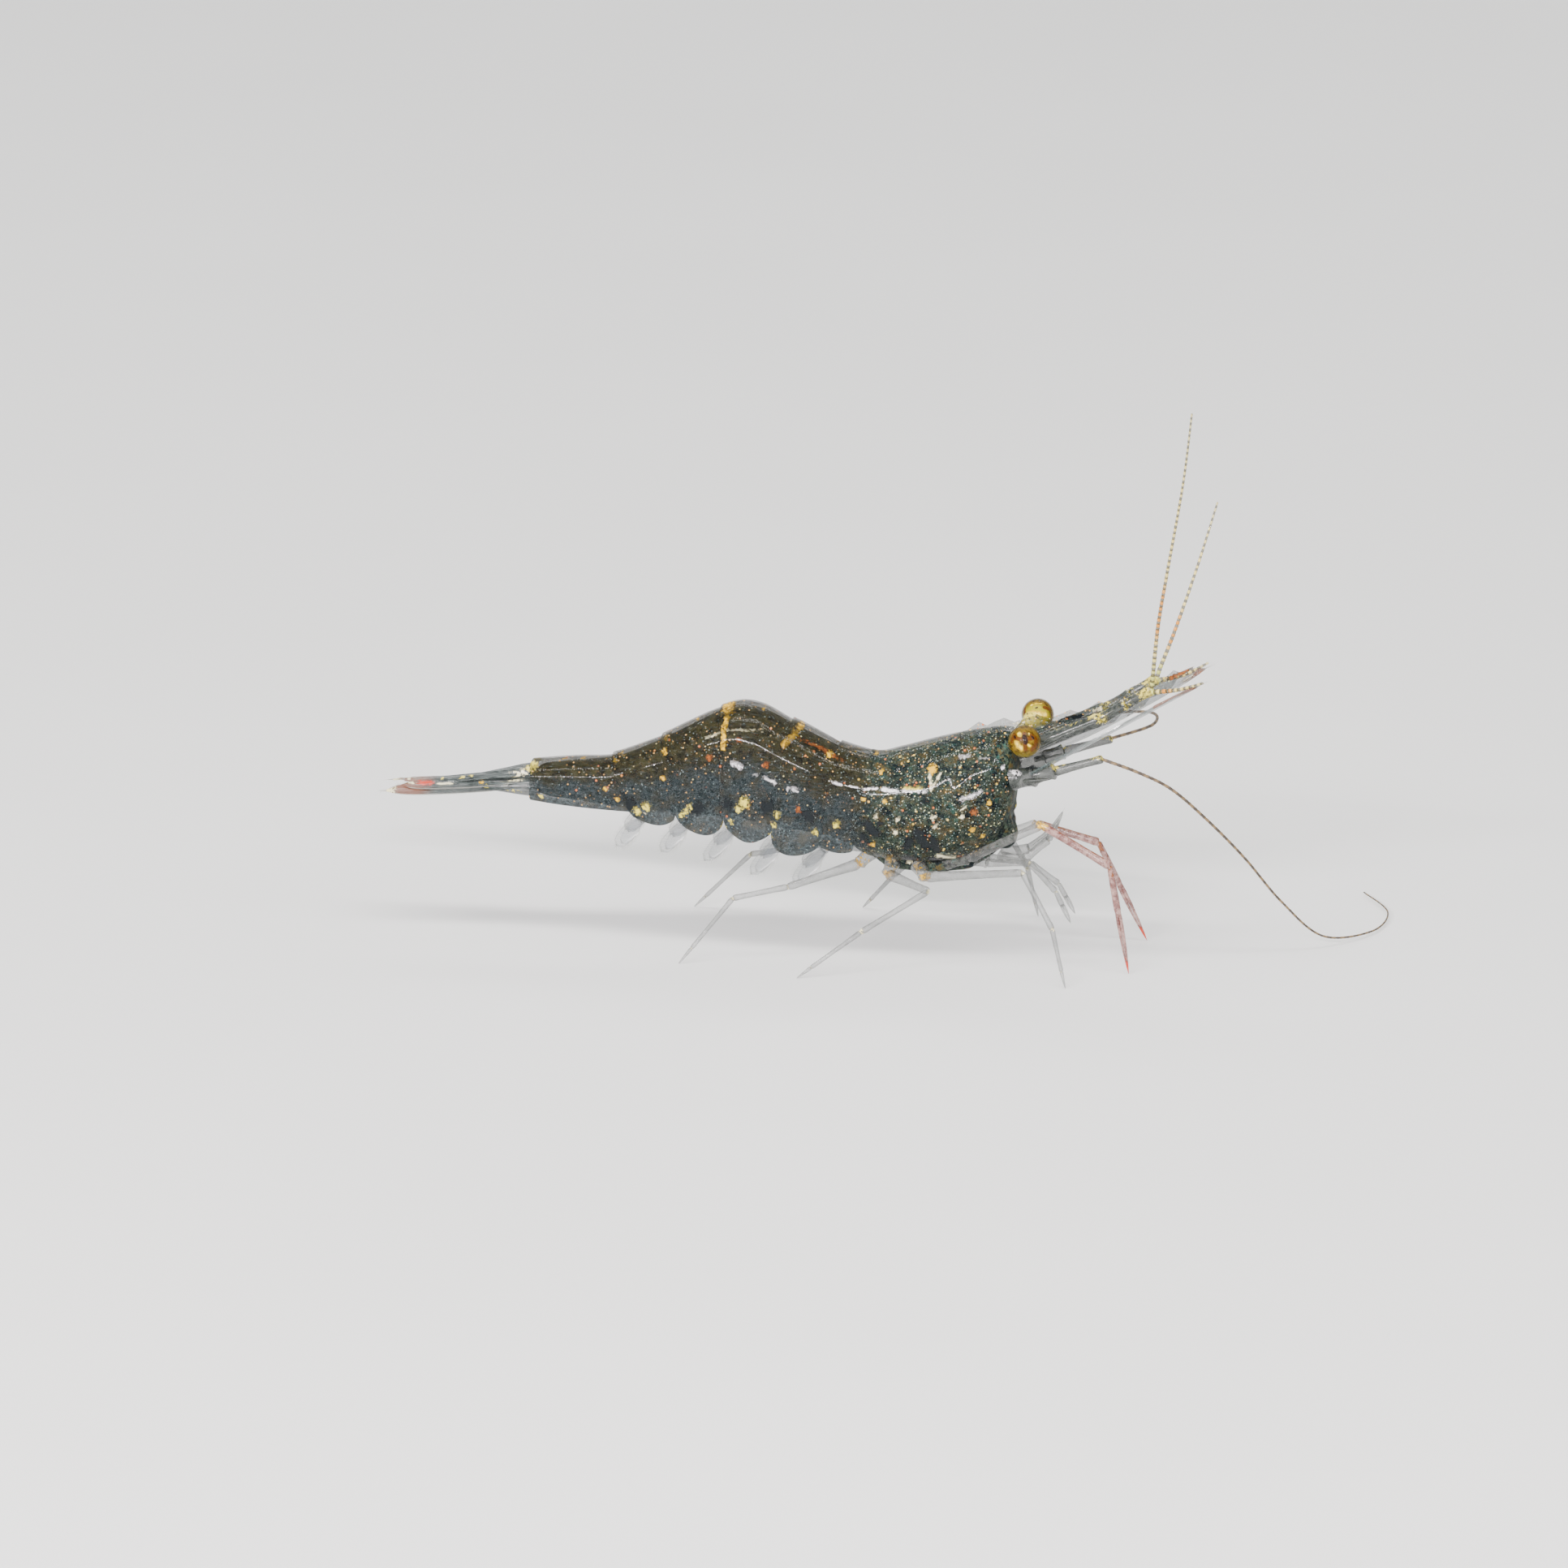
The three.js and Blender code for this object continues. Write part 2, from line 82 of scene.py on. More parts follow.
def modify(piece, kind, **settings):
    """Add a modifier, set it and apply it."""
    only(piece)
    modifier = piece.modifiers.new(kind.title(), kind)
    for name, value in settings.items():
        setattr(modifier, name, value)
    bpy.ops.object.modifier_apply(modifier=modifier.name)
    return piece


def joined(pieces):
    only(*pieces)
    bpy.ops.object.join()
    return pieces[0]


def hand_over(piece, name, finish, slot, *nodes, smooth=50):
    """Bring a piece into the frame, shade it, and hide the solids that it stands in for."""
    piece.name = piece.data.name = name
    piece.location, piece.scale = ORIGIN, (MM, MM, MM)
    settle(piece)
    bpy.ops.object.shade_smooth_by_angle(angle=math.radians(smooth))
    piece.data.materials.clear()
    piece.data.materials.append(finish.material)
    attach(piece, "root")
    if nodes:
        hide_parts(*nodes)
    print(f"{name}: {len(piece.data.polygons)} faces")
    return piece


def mirrored(points, sign):
    return [(x, y * sign, z) for x, y, z in points]


print("the animal's own zero is at", [round(v / MM, 3) for v in ORIGIN], "mm")

# %% [markdown]
# ## The camera
# A shrimp is met at its own height, a little from above and from its right flank. A short lens would swell the
# nearest eye and shrink the tail, so the camera stands well back behind a long one, and its distance follows
# from the width of the field that it has to show.

# %% Camera
VIEW_BACK = Vector((0.1496, -0.9445, 0.2924))
LENS, SENSOR, FIELD = 300.0, 36.0, 71.556
target = ORIGIN + Vector((-1.274, 0.0, 7.568)) * MM
bpy.ops.object.camera_add(location=target + VIEW_BACK * FIELD / SENSOR * LENS * MM)
camera = bpy.context.object
camera.rotation_euler = VIEW_BACK.to_track_quat("Z", "Y").to_euler()
camera.data.lens, camera.data.sensor_width = LENS, SENSOR
camera.data.clip_start, camera.data.clip_end = 0.01, 10.0
bpy.context.scene.camera = camera
print("camera stands", round((camera.location - target).length * 1000), "mm away")

# %% [markdown]
# ## The floor and the light
# A clear animal is hard to light: a bare lamp leaves hard white spots and nothing between them. The floor is
# plain and pale, a wide soft light from above does most of the work, and one narrow strip beside the camera
# draws the bright line along the wet flank, which is what tells the eye that the shell is smooth.

# %% Floor and lights
only()
bpy.ops.mesh.primitive_plane_add(size=3.0, location=(0, 0, 0))
floor = bpy.context.object
floor.name = "floor"


def soft_light(name, azimuth, elevation, distance, size, watts, colour=(1, 1, 1)):
    """An area light that faces the animal, placed by its bearing from the camera's side."""
    a, e = math.radians(azimuth), math.radians(elevation)
    back = Vector((math.sin(a) * math.cos(e), -math.cos(a) * math.cos(e), math.sin(e)))
    bpy.ops.object.light_add(type="AREA", location=target + back * distance)
    light = bpy.context.object
    light.name = name
    light.rotation_euler = back.to_track_quat("Z", "Y").to_euler()
    light.data.shape = "RECTANGLE"
    light.data.size, light.data.size_y = size
    light.data.energy, light.data.color = watts, colour
    return light


soft_light("overhead strip", 4, 74, 0.5, (0.55, 0.09), 3.2, (1.0, 0.98, 0.95))
soft_light("fill", 75, 30, 0.6, (0.12, 0.3), 0.7, (0.93, 0.97, 1.0))
soft_light("back", 190, 45, 0.6, (0.5, 0.08), 1.0)
soft_light("flank strip", -9, 27, 0.36, (0.30, 0.010), 3.2, (1.0, 0.95, 0.96))
world = bpy.data.worlds.new("studio")
bpy.context.scene.world = world
world.use_nodes = True
world.node_tree.nodes["Background"].inputs["Color"].default_value = (0.86, 0.88, 0.9, 1)
world.node_tree.nodes["Background"].inputs["Strength"].default_value = 0.70
bpy.context.scene.cycles.transparent_max_bounces = 24

# %% [markdown]
# ## Writing shaders as sums
# A material here is a sum of soft fields: noise, stripes and painted marks. Written as nodes alone, a sum is
# hard to read, so a small class wraps a socket and lets Python's own signs add the Math nodes.

# %% The shader helpers
class Field:
    """A number that changes over a surface. Sums on it add Math nodes."""

    def __init__(self, finish, socket):
        self.finish, self.socket = finish, socket

    def math(self, operation, *values):
        return self.finish.node("ShaderNodeMath", {"operation": operation}, dict(enumerate(values)))

    def __add__(self, other): return self.math("ADD", self, other)
    def __radd__(self, other): return self.math("ADD", other, self)
    def __sub__(self, other): return self.math("SUBTRACT", self, other)
    def __rsub__(self, other): return self.math("SUBTRACT", other, self)
    def __mul__(self, other): return self.math("MULTIPLY", self, other)
    def __rmul__(self, other): return self.math("MULTIPLY", other, self)
    def __truediv__(self, other): return self.math("DIVIDE", self, other)

    def most(self, other): return self.math("MAXIMUM", self, other)

    def step(self, low, high):
        """0 below `low`, 1 above `high` and smooth between. With low above high it falls instead."""
        return self.finish.node("ShaderNodeMapRange", {"interpolation_type": "SMOOTHSTEP", "clamp": True},
                                {"Value": self, "From Min": low, "From Max": high})


class Finish:
    """A material. Its even values are set on the shader's sockets, and the rest is linked."""

    def __init__(self, name, even):
        self.material = bpy.data.materials.new(name)
        self.material.use_nodes = True
        self.tree = self.material.node_tree
        self.shader = self.tree.nodes["Principled BSDF"]
        for socket, value in even.items():
            self.shader.inputs[socket].default_value = value
        where = self.node("ShaderNodeTexCoord", output="Object")
        self.place = self.node("ShaderNodeMapping", {}, {
            "Vector": where, "Location": tuple(-v / MM for v in ORIGIN), "Scale": (1 / MM,) * 3})

    def node(self, kind, settings=None, values=None, output=0):
        made = self.tree.nodes.new(kind)
        for name, value in (settings or {}).items():
            setattr(made, name, value)
        for socket, value in (values or {}).items():
            if isinstance(value, Field):
                self.tree.links.new(value.socket, made.inputs[socket])
            else:
                made.inputs[socket].default_value = value
        return Field(self, made.outputs[output])

    def link(self, socket, field):
        self.tree.links.new(field.socket, self.shader.inputs[socket])

    def painted(self, name):
        """A value that was painted on the mesh."""
        return self.node("ShaderNodeAttribute", {"attribute_name": name}, output="Fac")

    def stretched(self, scale):
        return self.node("ShaderNodeMapping", {}, {"Vector": self.place, "Scale": scale})

    def cloud(self, scale, detail=3.0, rough=0.55, where=None):
        """Noise whose lumps are about 1 / scale millimetres across."""
        return self.node("ShaderNodeTexNoise", {}, {
            "Vector": where or self.place, "Scale": scale, "Detail": detail, "Roughness": rough})

    def cells(self, scale, where=None, feature="F1", output=0):
        return self.node("ShaderNodeTexVoronoi", {"feature": feature}, {
            "Vector": where or self.place, "Scale": scale}, output)

    def mix(self, factor, a, b):
        """A colour between two others."""
        colour = {6: a if isinstance(a, Field) else (*a, 1), 7: b if isinstance(b, Field) else (*b, 1), 0: factor}
        return self.node("ShaderNodeMix", {"data_type": "RGBA"}, colour, output=2)

    def flecks(self, scale, size, rarity):
        """Scattered specks, one in each cell that its own random number picks. Also gives that number."""
        chance = self.cells(scale, output=1) * 1.0
        return self.cells(scale).step(size, size * 0.55) * chance.step(rarity, rarity + 0.02), chance

    def bump(self, height, distance, strength=1.0):
        """Relief: `distance` is its height in millimetres."""
        self.link("Normal", self.node("ShaderNodeBump", {}, {
            "Height": height, "Distance": distance * MM, "Strength": strength}))

    def tell(self):
        print(f"finish {self.material.name}: {len(self.tree.nodes)} nodes")


print("noise, cells, flecks and relief are ready")


# %% [markdown]
# ## Pigment marks
# The gold, rust, cream and ink-blue marks are clusters of pigment cells. Each one is a spot or a stroke at a
# known place on the animal. The spots are painted on the mesh as soft fields, one value per vertex, and the
# material then breaks their edges up with noise, so that no two have the same outline.

# %% Painting marks on a mesh
PIGMENTS = {
    "ink": (0.006, 0.009, 0.011),
    "rust": (0.24, 0.070, 0.016),
    "scarlet": (0.50, 0.040, 0.018),
    "gold": (0.70, 0.41, 0.022),
    "straw": (0.66, 0.55, 0.085),
    "cream": (0.78, 0.72, 0.46),
    # the last colour is not a pigment but painted highlight: near-white streaks and patches where the wet shell shines
    "painted_highlight": (0.90, 0.86, 0.88),
}


def points_of(piece):
    flat = np.empty(len(piece.data.vertices) * 3)
    piece.data.vertices.foreach_get("co", flat)
    return flat.reshape(-1, 3)


def give(piece, name, values):
    """Store one value per vertex under a name that a material can read."""
    attribute = piece.data.attributes.new(name, "FLOAT", "POINT")
    attribute.data.foreach_set("value", np.asarray(values, dtype=np.float32))


def distance_to(points, path):
    """From each point to the nearest place on a path of straight lengths."""
    path = [np.array(p, dtype=float) for p in path]
    nearest = np.linalg.norm(points - path[0], axis=1)
    for a, b in zip(path, path[1:]):
        span = b - a
        share = np.clip((points - a) @ span / (span @ span), 0, 1)
        nearest = np.minimum(nearest, np.linalg.norm(points - a - share[:, None] * span, axis=1))
    return nearest


def paint(piece, marks, both_sides=False):
    """Marks are (pigment, radius, point, point...). Each pigment becomes a field, 1 at its heart."""
    points = points_of(piece)
    if both_sides:
        points = np.column_stack([points[:, 0], -np.abs(points[:, 1]), points[:, 2]])
    for pigment in PIGMENTS:
        field = np.zeros(len(points))
        for kind, radius, *path in marks:
            if kind == pigment:
                squash = (1, 0.3 if both_sides and path[0][1] < -0.85 else 1, 1)
                reach = distance_to(points * squash, [np.array(p) * squash for p in path])
                field = np.maximum(field, np.clip(1.55 - 1.15 * reach / radius, 0, 1.55))
        give(piece, pigment, field)
    return piece


def add_marks(finish, colour, alpha, pigments=tuple(PIGMENTS), grain=7.0):
    """Lay the painted pigments over a colour, and make the surface solid where they are."""
    ragged = finish.cloud(grain, 3.0, 0.7) - 0.5
    for pigment in pigments:
        core = finish.painted(pigment) + ragged * 4.0
        mask = core.step(0.42, 0.58) * finish.painted(pigment).step(0.02, 0.22)
        dull = tuple(v * 0.45 for v in PIGMENTS[pigment])
        colour = finish.mix(mask, colour, finish.mix(core.step(0.5, 1.0), dull, PIGMENTS[pigment]))
        alpha = (mask * 0.92).most(alpha)
    return colour, alpha


print("pigments:", ", ".join(PIGMENTS))


# %% [markdown]
# ## The floor's finish
# Even a plain floor has some life: a faint grain keeps it from looking like empty space.

# %% Floor finish
paper = Finish("floor paper", {"Specular IOR Level": 0.2})
paper.link("Base Color", paper.mix(paper.cloud(0.03, 2.0), (0.70, 0.70, 0.69), (0.76, 0.76, 0.75)))
paper.link("Roughness", paper.cloud(0.6) * 0.2 + 0.7)
floor.data.materials.append(paper.material)
paper.tell()

# %% [markdown]
# ## The body's plan
# The body is planned as a shipwright would plan a hull: at each place from brow to tail there is a point on the
# back, a point on the belly and half a width. A smooth curve runs through them, so any cross-section between
# two places can be asked for.

# %% The body's plan
BODY = [  # back x, z, belly x, z and half width: brow, orbit, cheek, stomach, heart, waist, rings 1 and 2,
    (9.7, 10.3, 9.55, 7.3, 1.0), (9.1, 10.7, 9.1, 6.1, 1.6), (7.8, 10.55, 8.0, 5.0, 2.05),
    (6.0, 10.1, 6.2, 4.45, 2.25), (4.2, 9.55, 4.0, 4.4, 2.2), (2.95, 9.25, 2.2, 4.75, 2.05),
    (1.4, 9.5, 0.5, 5.2, 2.05), (-0.8, 10.5, -1.5, 5.45, 2.05),
    # hump, rings 3 to 5, loin and ring 6
    (-2.5, 11.25, -2.6, 5.6, 1.98), (-4.0, 11.1, -3.7, 5.75, 1.85), (-6.7, 9.65, -5.9, 5.9, 1.5),
    (-9.0, 8.6, -8.1, 6.06, 1.2), (-11.0, 8.3, -10.8, 6.32, 1.05), (-12.95, 8.05, -12.9, 6.54, 0.86),
]
WAIST, LAST = 5, len(BODY) - 1


def through(rows, at):
    """The value at a fractional row number, on a smooth curve through all the rows."""
    at = min(max(at, 0.0), len(rows) - 1 - 1e-9)
    i = int(at)
    f = at - i
    p = [np.array(rows[min(max(i + k, 0), len(rows) - 1)], dtype=float) for k in (-1, 0, 1, 2)]
    return 0.5 * (2 * p[1] + (p[2] - p[0]) * f + (2 * p[0] - 5 * p[1] + 4 * p[2] - p[3]) * f * f
                  + (3 * p[1] - p[0] - 3 * p[2] + p[3]) * f ** 3)


def section(place):
    """The middle of the body at a place, half of its height as a vector, and half its width."""
    back_x, back_z, belly_x, belly_z, half = through(BODY, place)
    middle = np.array([(back_x + belly_x) / 2, 0, (back_z + belly_z) / 2])
    return middle, np.array([(back_x - belly_x) / 2, 0, (back_z - belly_z) / 2]), half


def on_section(place, across, height, lift=0.0):
    """A point given in half widths and half heights of the section, lifted outwards by some millimetres."""
    middle, up, half = section(place)
    rise = 1 + lift / np.linalg.norm(up)
    return middle + up * height * rise + np.array([0, across * (half + lift), 0])


def egg(angle):
    """The thorax in section: degrees from the back, as half widths and half heights."""
    turn = math.radians(abs(angle))
    full = lambda v: math.copysign(abs(v) ** 0.88, v)
    return math.copysign(full(math.sin(turn)) * (1 - 0.14 * math.cos(turn)), angle), full(math.cos(turn))


def height_on_body(points):
    """How high each point is in its own section, from -1 on the belly to 1 on the back."""
    places = np.linspace(0, LAST, 160)
    rows = [section(p) for p in places]
    middles, ups = np.array([r[0] for r in rows]), np.array([r[1] for r in rows])
    flat = points[:, [0, 2]]
    along = np.stack([-ups[:, 2], ups[:, 0]], axis=1)
    along /= np.linalg.norm(along, axis=1)[:, None]
    gap = flat[:, None, :] - middles[None][:, :, [0, 2]]
    nearest = np.abs((gap * along[None]).sum(axis=2)).argmin(axis=1)
    up = ups[nearest][:, [0, 2]]
    return ((flat - middles[nearest][:, [0, 2]]) * up).sum(axis=1) / (up * up).sum(axis=1)


print("body length from brow to tail:", round(BODY[0][0] - BODY[-1][0], 1), "mm")

# %% [markdown]
# ## The finishes of shell and flesh
# Clear shell over smoky flesh is two skins. The outer one lets much of the light through, has a wet coat and
# carries the gold. The inner one is nearly solid and carries the colour: olive brown over the back, blue-grey
# low on the flanks, and a mottle of green, teal and brown in the thorax. Glass that bends light would look
# right from one side only and takes long to render, so the shell is a thin film with alpha instead, denser
# where it is seen edge on, as a real film is.

# %% Shell, flesh and scales
def body_colour(finish):
    """Olive back, smoky blue-grey flank and mottled thorax, as one colour field."""
    height = finish.painted("height")
    thorax = finish.painted("thorax")
    speckle = finish.cloud(8.0, 5.0, 0.75)
    blotch = finish.cloud(1.5, 3.0, 0.6)
    patch = finish.cloud(3.2, 3.0, 0.65)
    back = finish.mix(patch.step(0.42, 0.58), (0.006, 0.007, 0.004), (0.034, 0.033, 0.014))
    back = finish.mix(speckle.step(0.55, 0.66) * 0.85, back, (0.085, 0.050, 0.019))
    flank = finish.mix(speckle.step(0.42, 0.60), (0.006, 0.010, 0.011), (0.050, 0.066, 0.070))
    flank = finish.mix(blotch.step(0.50, 0.62) * 0.7, flank, (0.042, 0.039, 0.027))
    flank = finish.mix(patch.step(0.56, 0.64) * 0.7, flank, (0.006, 0.010, 0.012))
    colour = finish.mix((height + (blotch - 0.5) * 0.9 + (speckle - 0.5) * 0.5).step(-0.05, 0.50), flank, back)
    chest = finish.mix(speckle.step(0.44, 0.58), (0.004, 0.009, 0.008), (0.058, 0.080, 0.056))
    chest = finish.mix((patch * 0.6 + blotch * 0.4).step(0.52, 0.58), chest, (0.085, 0.064, 0.022))
    chest = finish.mix(finish.cloud(1.9, 5.0, 0.75).step(0.51, 0.56), chest, (0.003, 0.008, 0.011))
    chest = finish.mix(finish.cloud(2.9, 4.0, 0.7).step(0.60, 0.65) * 0.8, chest, (0.032, 0.105, 0.086))
    return finish.mix(thorax.step(0.2, 0.8), colour, chest), speckle, patch


flesh = Finish("smoky flesh", {"Subsurface Weight": 0.12, "Subsurface Scale": 0.0006, "Specular IOR Level": 0.06,
                               "Subsurface Radius": (0.6, 0.8, 0.7)})
colour, speckle, blotch = body_colour(flesh)
fibres = flesh.cloud(5.0, 3.0, 0.6, flesh.stretched((0.35, 2.2, 2.2)))
colour = flesh.mix((fibres.step(0.52, 0.70) * (1 - flesh.painted("thorax"))) * 0.45, colour, (0.12, 0.16, 0.175))
colour, alpha = add_marks(flesh, colour, flesh.painted("height").step(-1.3, -0.5) * 0.08 + 0.88)
flesh.link("Base Color", colour)
flesh.link("Alpha", alpha)
flesh.link("Roughness", speckle * 0.3 + 0.3)
flesh.bump(fibres + speckle * 0.4, 0.05)
flesh.tell()

shell = Finish("clear shell", {"IOR": 1.42, "Specular IOR Level": 0.1, "Coat Roughness": 0.05, "Coat IOR": 1.38})
colour, speckle, patch = body_colour(shell)
pits = shell.cells(11.0)
edge_on = shell.node("ShaderNodeLayerWeight", {}, {"Blend": 0.35}, output="Facing")
flap = shell.painted("height").step(-0.35, -0.72) * (1 - shell.painted("thorax"))
alpha = edge_on * 0.30 + 0.30 + (speckle - 0.5) * 0.5 + flap * 0.50
busy = shell.painted("thorax") * 0.25 - 0.09
for scale, size, rarity, tones in ((2.6, 0.20, 0.62, ((0.80, 0.55, 0.10), (0.50, 0.14, 0.04))),
                                   (5.2, 0.24, 0.60, ((0.55, 0.56, 0.30), (0.72, 0.40, 0.12))),
                                   (8.5, 0.26, 0.50, ((0.26, 0.33, 0.33), (0.14, 0.075, 0.03)))):
    specks, chance = shell.flecks(scale, size, rarity - busy)
    specks = specks * (shell.painted("height").step(-0.9, 0.3) * 0.4 + 0.6).most(shell.painted("thorax"))
    colour = shell.mix(specks, colour, shell.mix(chance.step(0.70, 0.74), *tones))
    alpha = (specks * 0.85).most(alpha)
colour, alpha = add_marks(shell, colour, alpha)
shell.link("Base Color", colour)
shell.link("Alpha", alpha)
shell.link("Roughness", speckle * 0.16 + 0.10)
shell.link("Coat Weight", 0.34 - shell.painted("gold") * 0.2)
shell.bump(pits * 0.5 + speckle + patch * 0.5, 0.026)
shell.tell()

# %% [markdown]
# ## The flesh
# One closed skin stands for all the soft parts. A ball is stretched along the body's plan, the solid model's
# own breast and mouth are joined to it with a lip and jaws, and a voxel remesh melts them into one surface. The
# remesh is then smoothed, because voxels leave small steps.

# %% One skin for the soft parts
def wrapped_ball(segments, rings, shape, name):
    """A ball whose every point is moved by shape(share from pole to pole, turn in degrees from the top)."""
    only()
    bpy.ops.mesh.primitive_uv_sphere_add(segments=segments, ring_count=rings, radius=1.0)
    ball = bpy.context.object
    ball.name = name
    for vertex in ball.data.vertices:
        x, y, z = vertex.co
        share = math.acos(max(-1.0, min(1.0, z))) / math.pi
        vertex.co = Vector(shape(share, math.degrees(math.atan2(y, x))))
    only(ball)
    bpy.ops.object.mode_set(mode="EDIT")
    bpy.ops.mesh.select_all(action="SELECT")
    bpy.ops.mesh.normals_make_consistent(inside=False)
    bpy.ops.object.mode_set(mode="OBJECT")
    return ball


def ball(centre, radius, squash, rings):
    """A ball squashed along each direction."""
    def shape(share, turn):
        down, spin = share * math.pi, math.radians(turn)
        way = (math.sin(down) * math.cos(spin), math.sin(down) * math.sin(spin), math.cos(down))
        return [middle + radius * flat * part for middle, flat, part in zip(centre, squash, way)]
    return wrapped_ball(2 * rings, rings, shape, "ball")


def flesh_shape(share, turn):
    """Inside the shell by a quarter of a millimetre, and rounded off at both ends."""
    place = 0.25 + share * (LAST - 0.3)
    end = min(share / 0.05, (1 - share) / 0.03, 1.0)
    size = math.sqrt(max(0.0, 1 - (1 - end) ** 2))
    across, height = egg(turn)
    full = min(max((place - 8.0) / 2.5, 0.0), 1.0)
    lean, rise = math.sin(math.radians(turn)), math.cos(math.radians(turn))
    across += (math.copysign(abs(lean) ** 0.55 * 0.98, lean) - across) * full
    height += (math.copysign(abs(rise) ** 0.75, rise) - height) * full
    trim = min(max(place - WAIST, 0.0), 1.0) * min(max(11.0 - place, 0.0), 1.0) * 0.12
    middle, up, half = section(place)
    inset = 0.17 - 0.05 * min(max(place - WAIST, 0.0), 1.0)
    return middle + size * (up * (height * (1 - inset / np.linalg.norm(up)) + trim * (height < -0.6) * (-height - 0.6))
                            + np.array([0, across * (half - inset), 0]))


core = wrapped_ball(40, 120, flesh_shape, "flesh core")
soft = [core]
for node in ("thorax_underside", "mouthparts"):
    copy = bpy.data.objects.new(node + " copy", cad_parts[node].data.copy())
    bpy.context.collection.objects.link(copy)
    copy.data.transform(Matrix.Scale(1 / MM, 4) @ Matrix.Translation(-ORIGIN))
    if node == "mouthparts":
        copy.data.transform(Matrix.Translation((8.6, 0, 5.9)) @ Matrix.Scale(0.74, 4) @ Matrix.Translation((-8.6, 0, -5.9)))
    only(copy)
    bpy.ops.object.mode_set(mode="EDIT")
    bpy.ops.mesh.select_all(action="SELECT")
    bpy.ops.mesh.remove_doubles(threshold=1e-4)
    bpy.ops.object.mode_set(mode="OBJECT")
    soft.append(copy)
for centre, radius, squash in (  # the upper lip, the jaws and the lobes under them
        ((9.08, 0, 7.1), 0.45, (0.9, 1.0, 0.75)), ((8.95, 0.48, 6.25), 0.45, (0.95, 0.8, 1.2)),
        ((8.95, -0.48, 6.25), 0.45, (0.95, 0.8, 1.2)), ((8.45, 0.36, 5.4), 0.42, (1.15, 0.75, 0.9)),
        ((8.45, -0.36, 5.4), 0.42, (1.15, 0.75, 0.9))):
    soft.append(ball(centre, radius, squash, 12))
body_flesh = joined(soft)
modify(body_flesh, "REMESH", mode="VOXEL", voxel_size=0.11)
modify(body_flesh, "SMOOTH", factor=0.6, iterations=6)
print("one skin of", len(body_flesh.data.polygons), "faces")

# %% [markdown]
# ## The marks on the body
# Spots and strokes are listed once, for the animal's right side, and the left side gets the same ones, as the
# pigment cells of a shrimp are laid out in pairs. Each is (pigment, radius, then the points of its path).

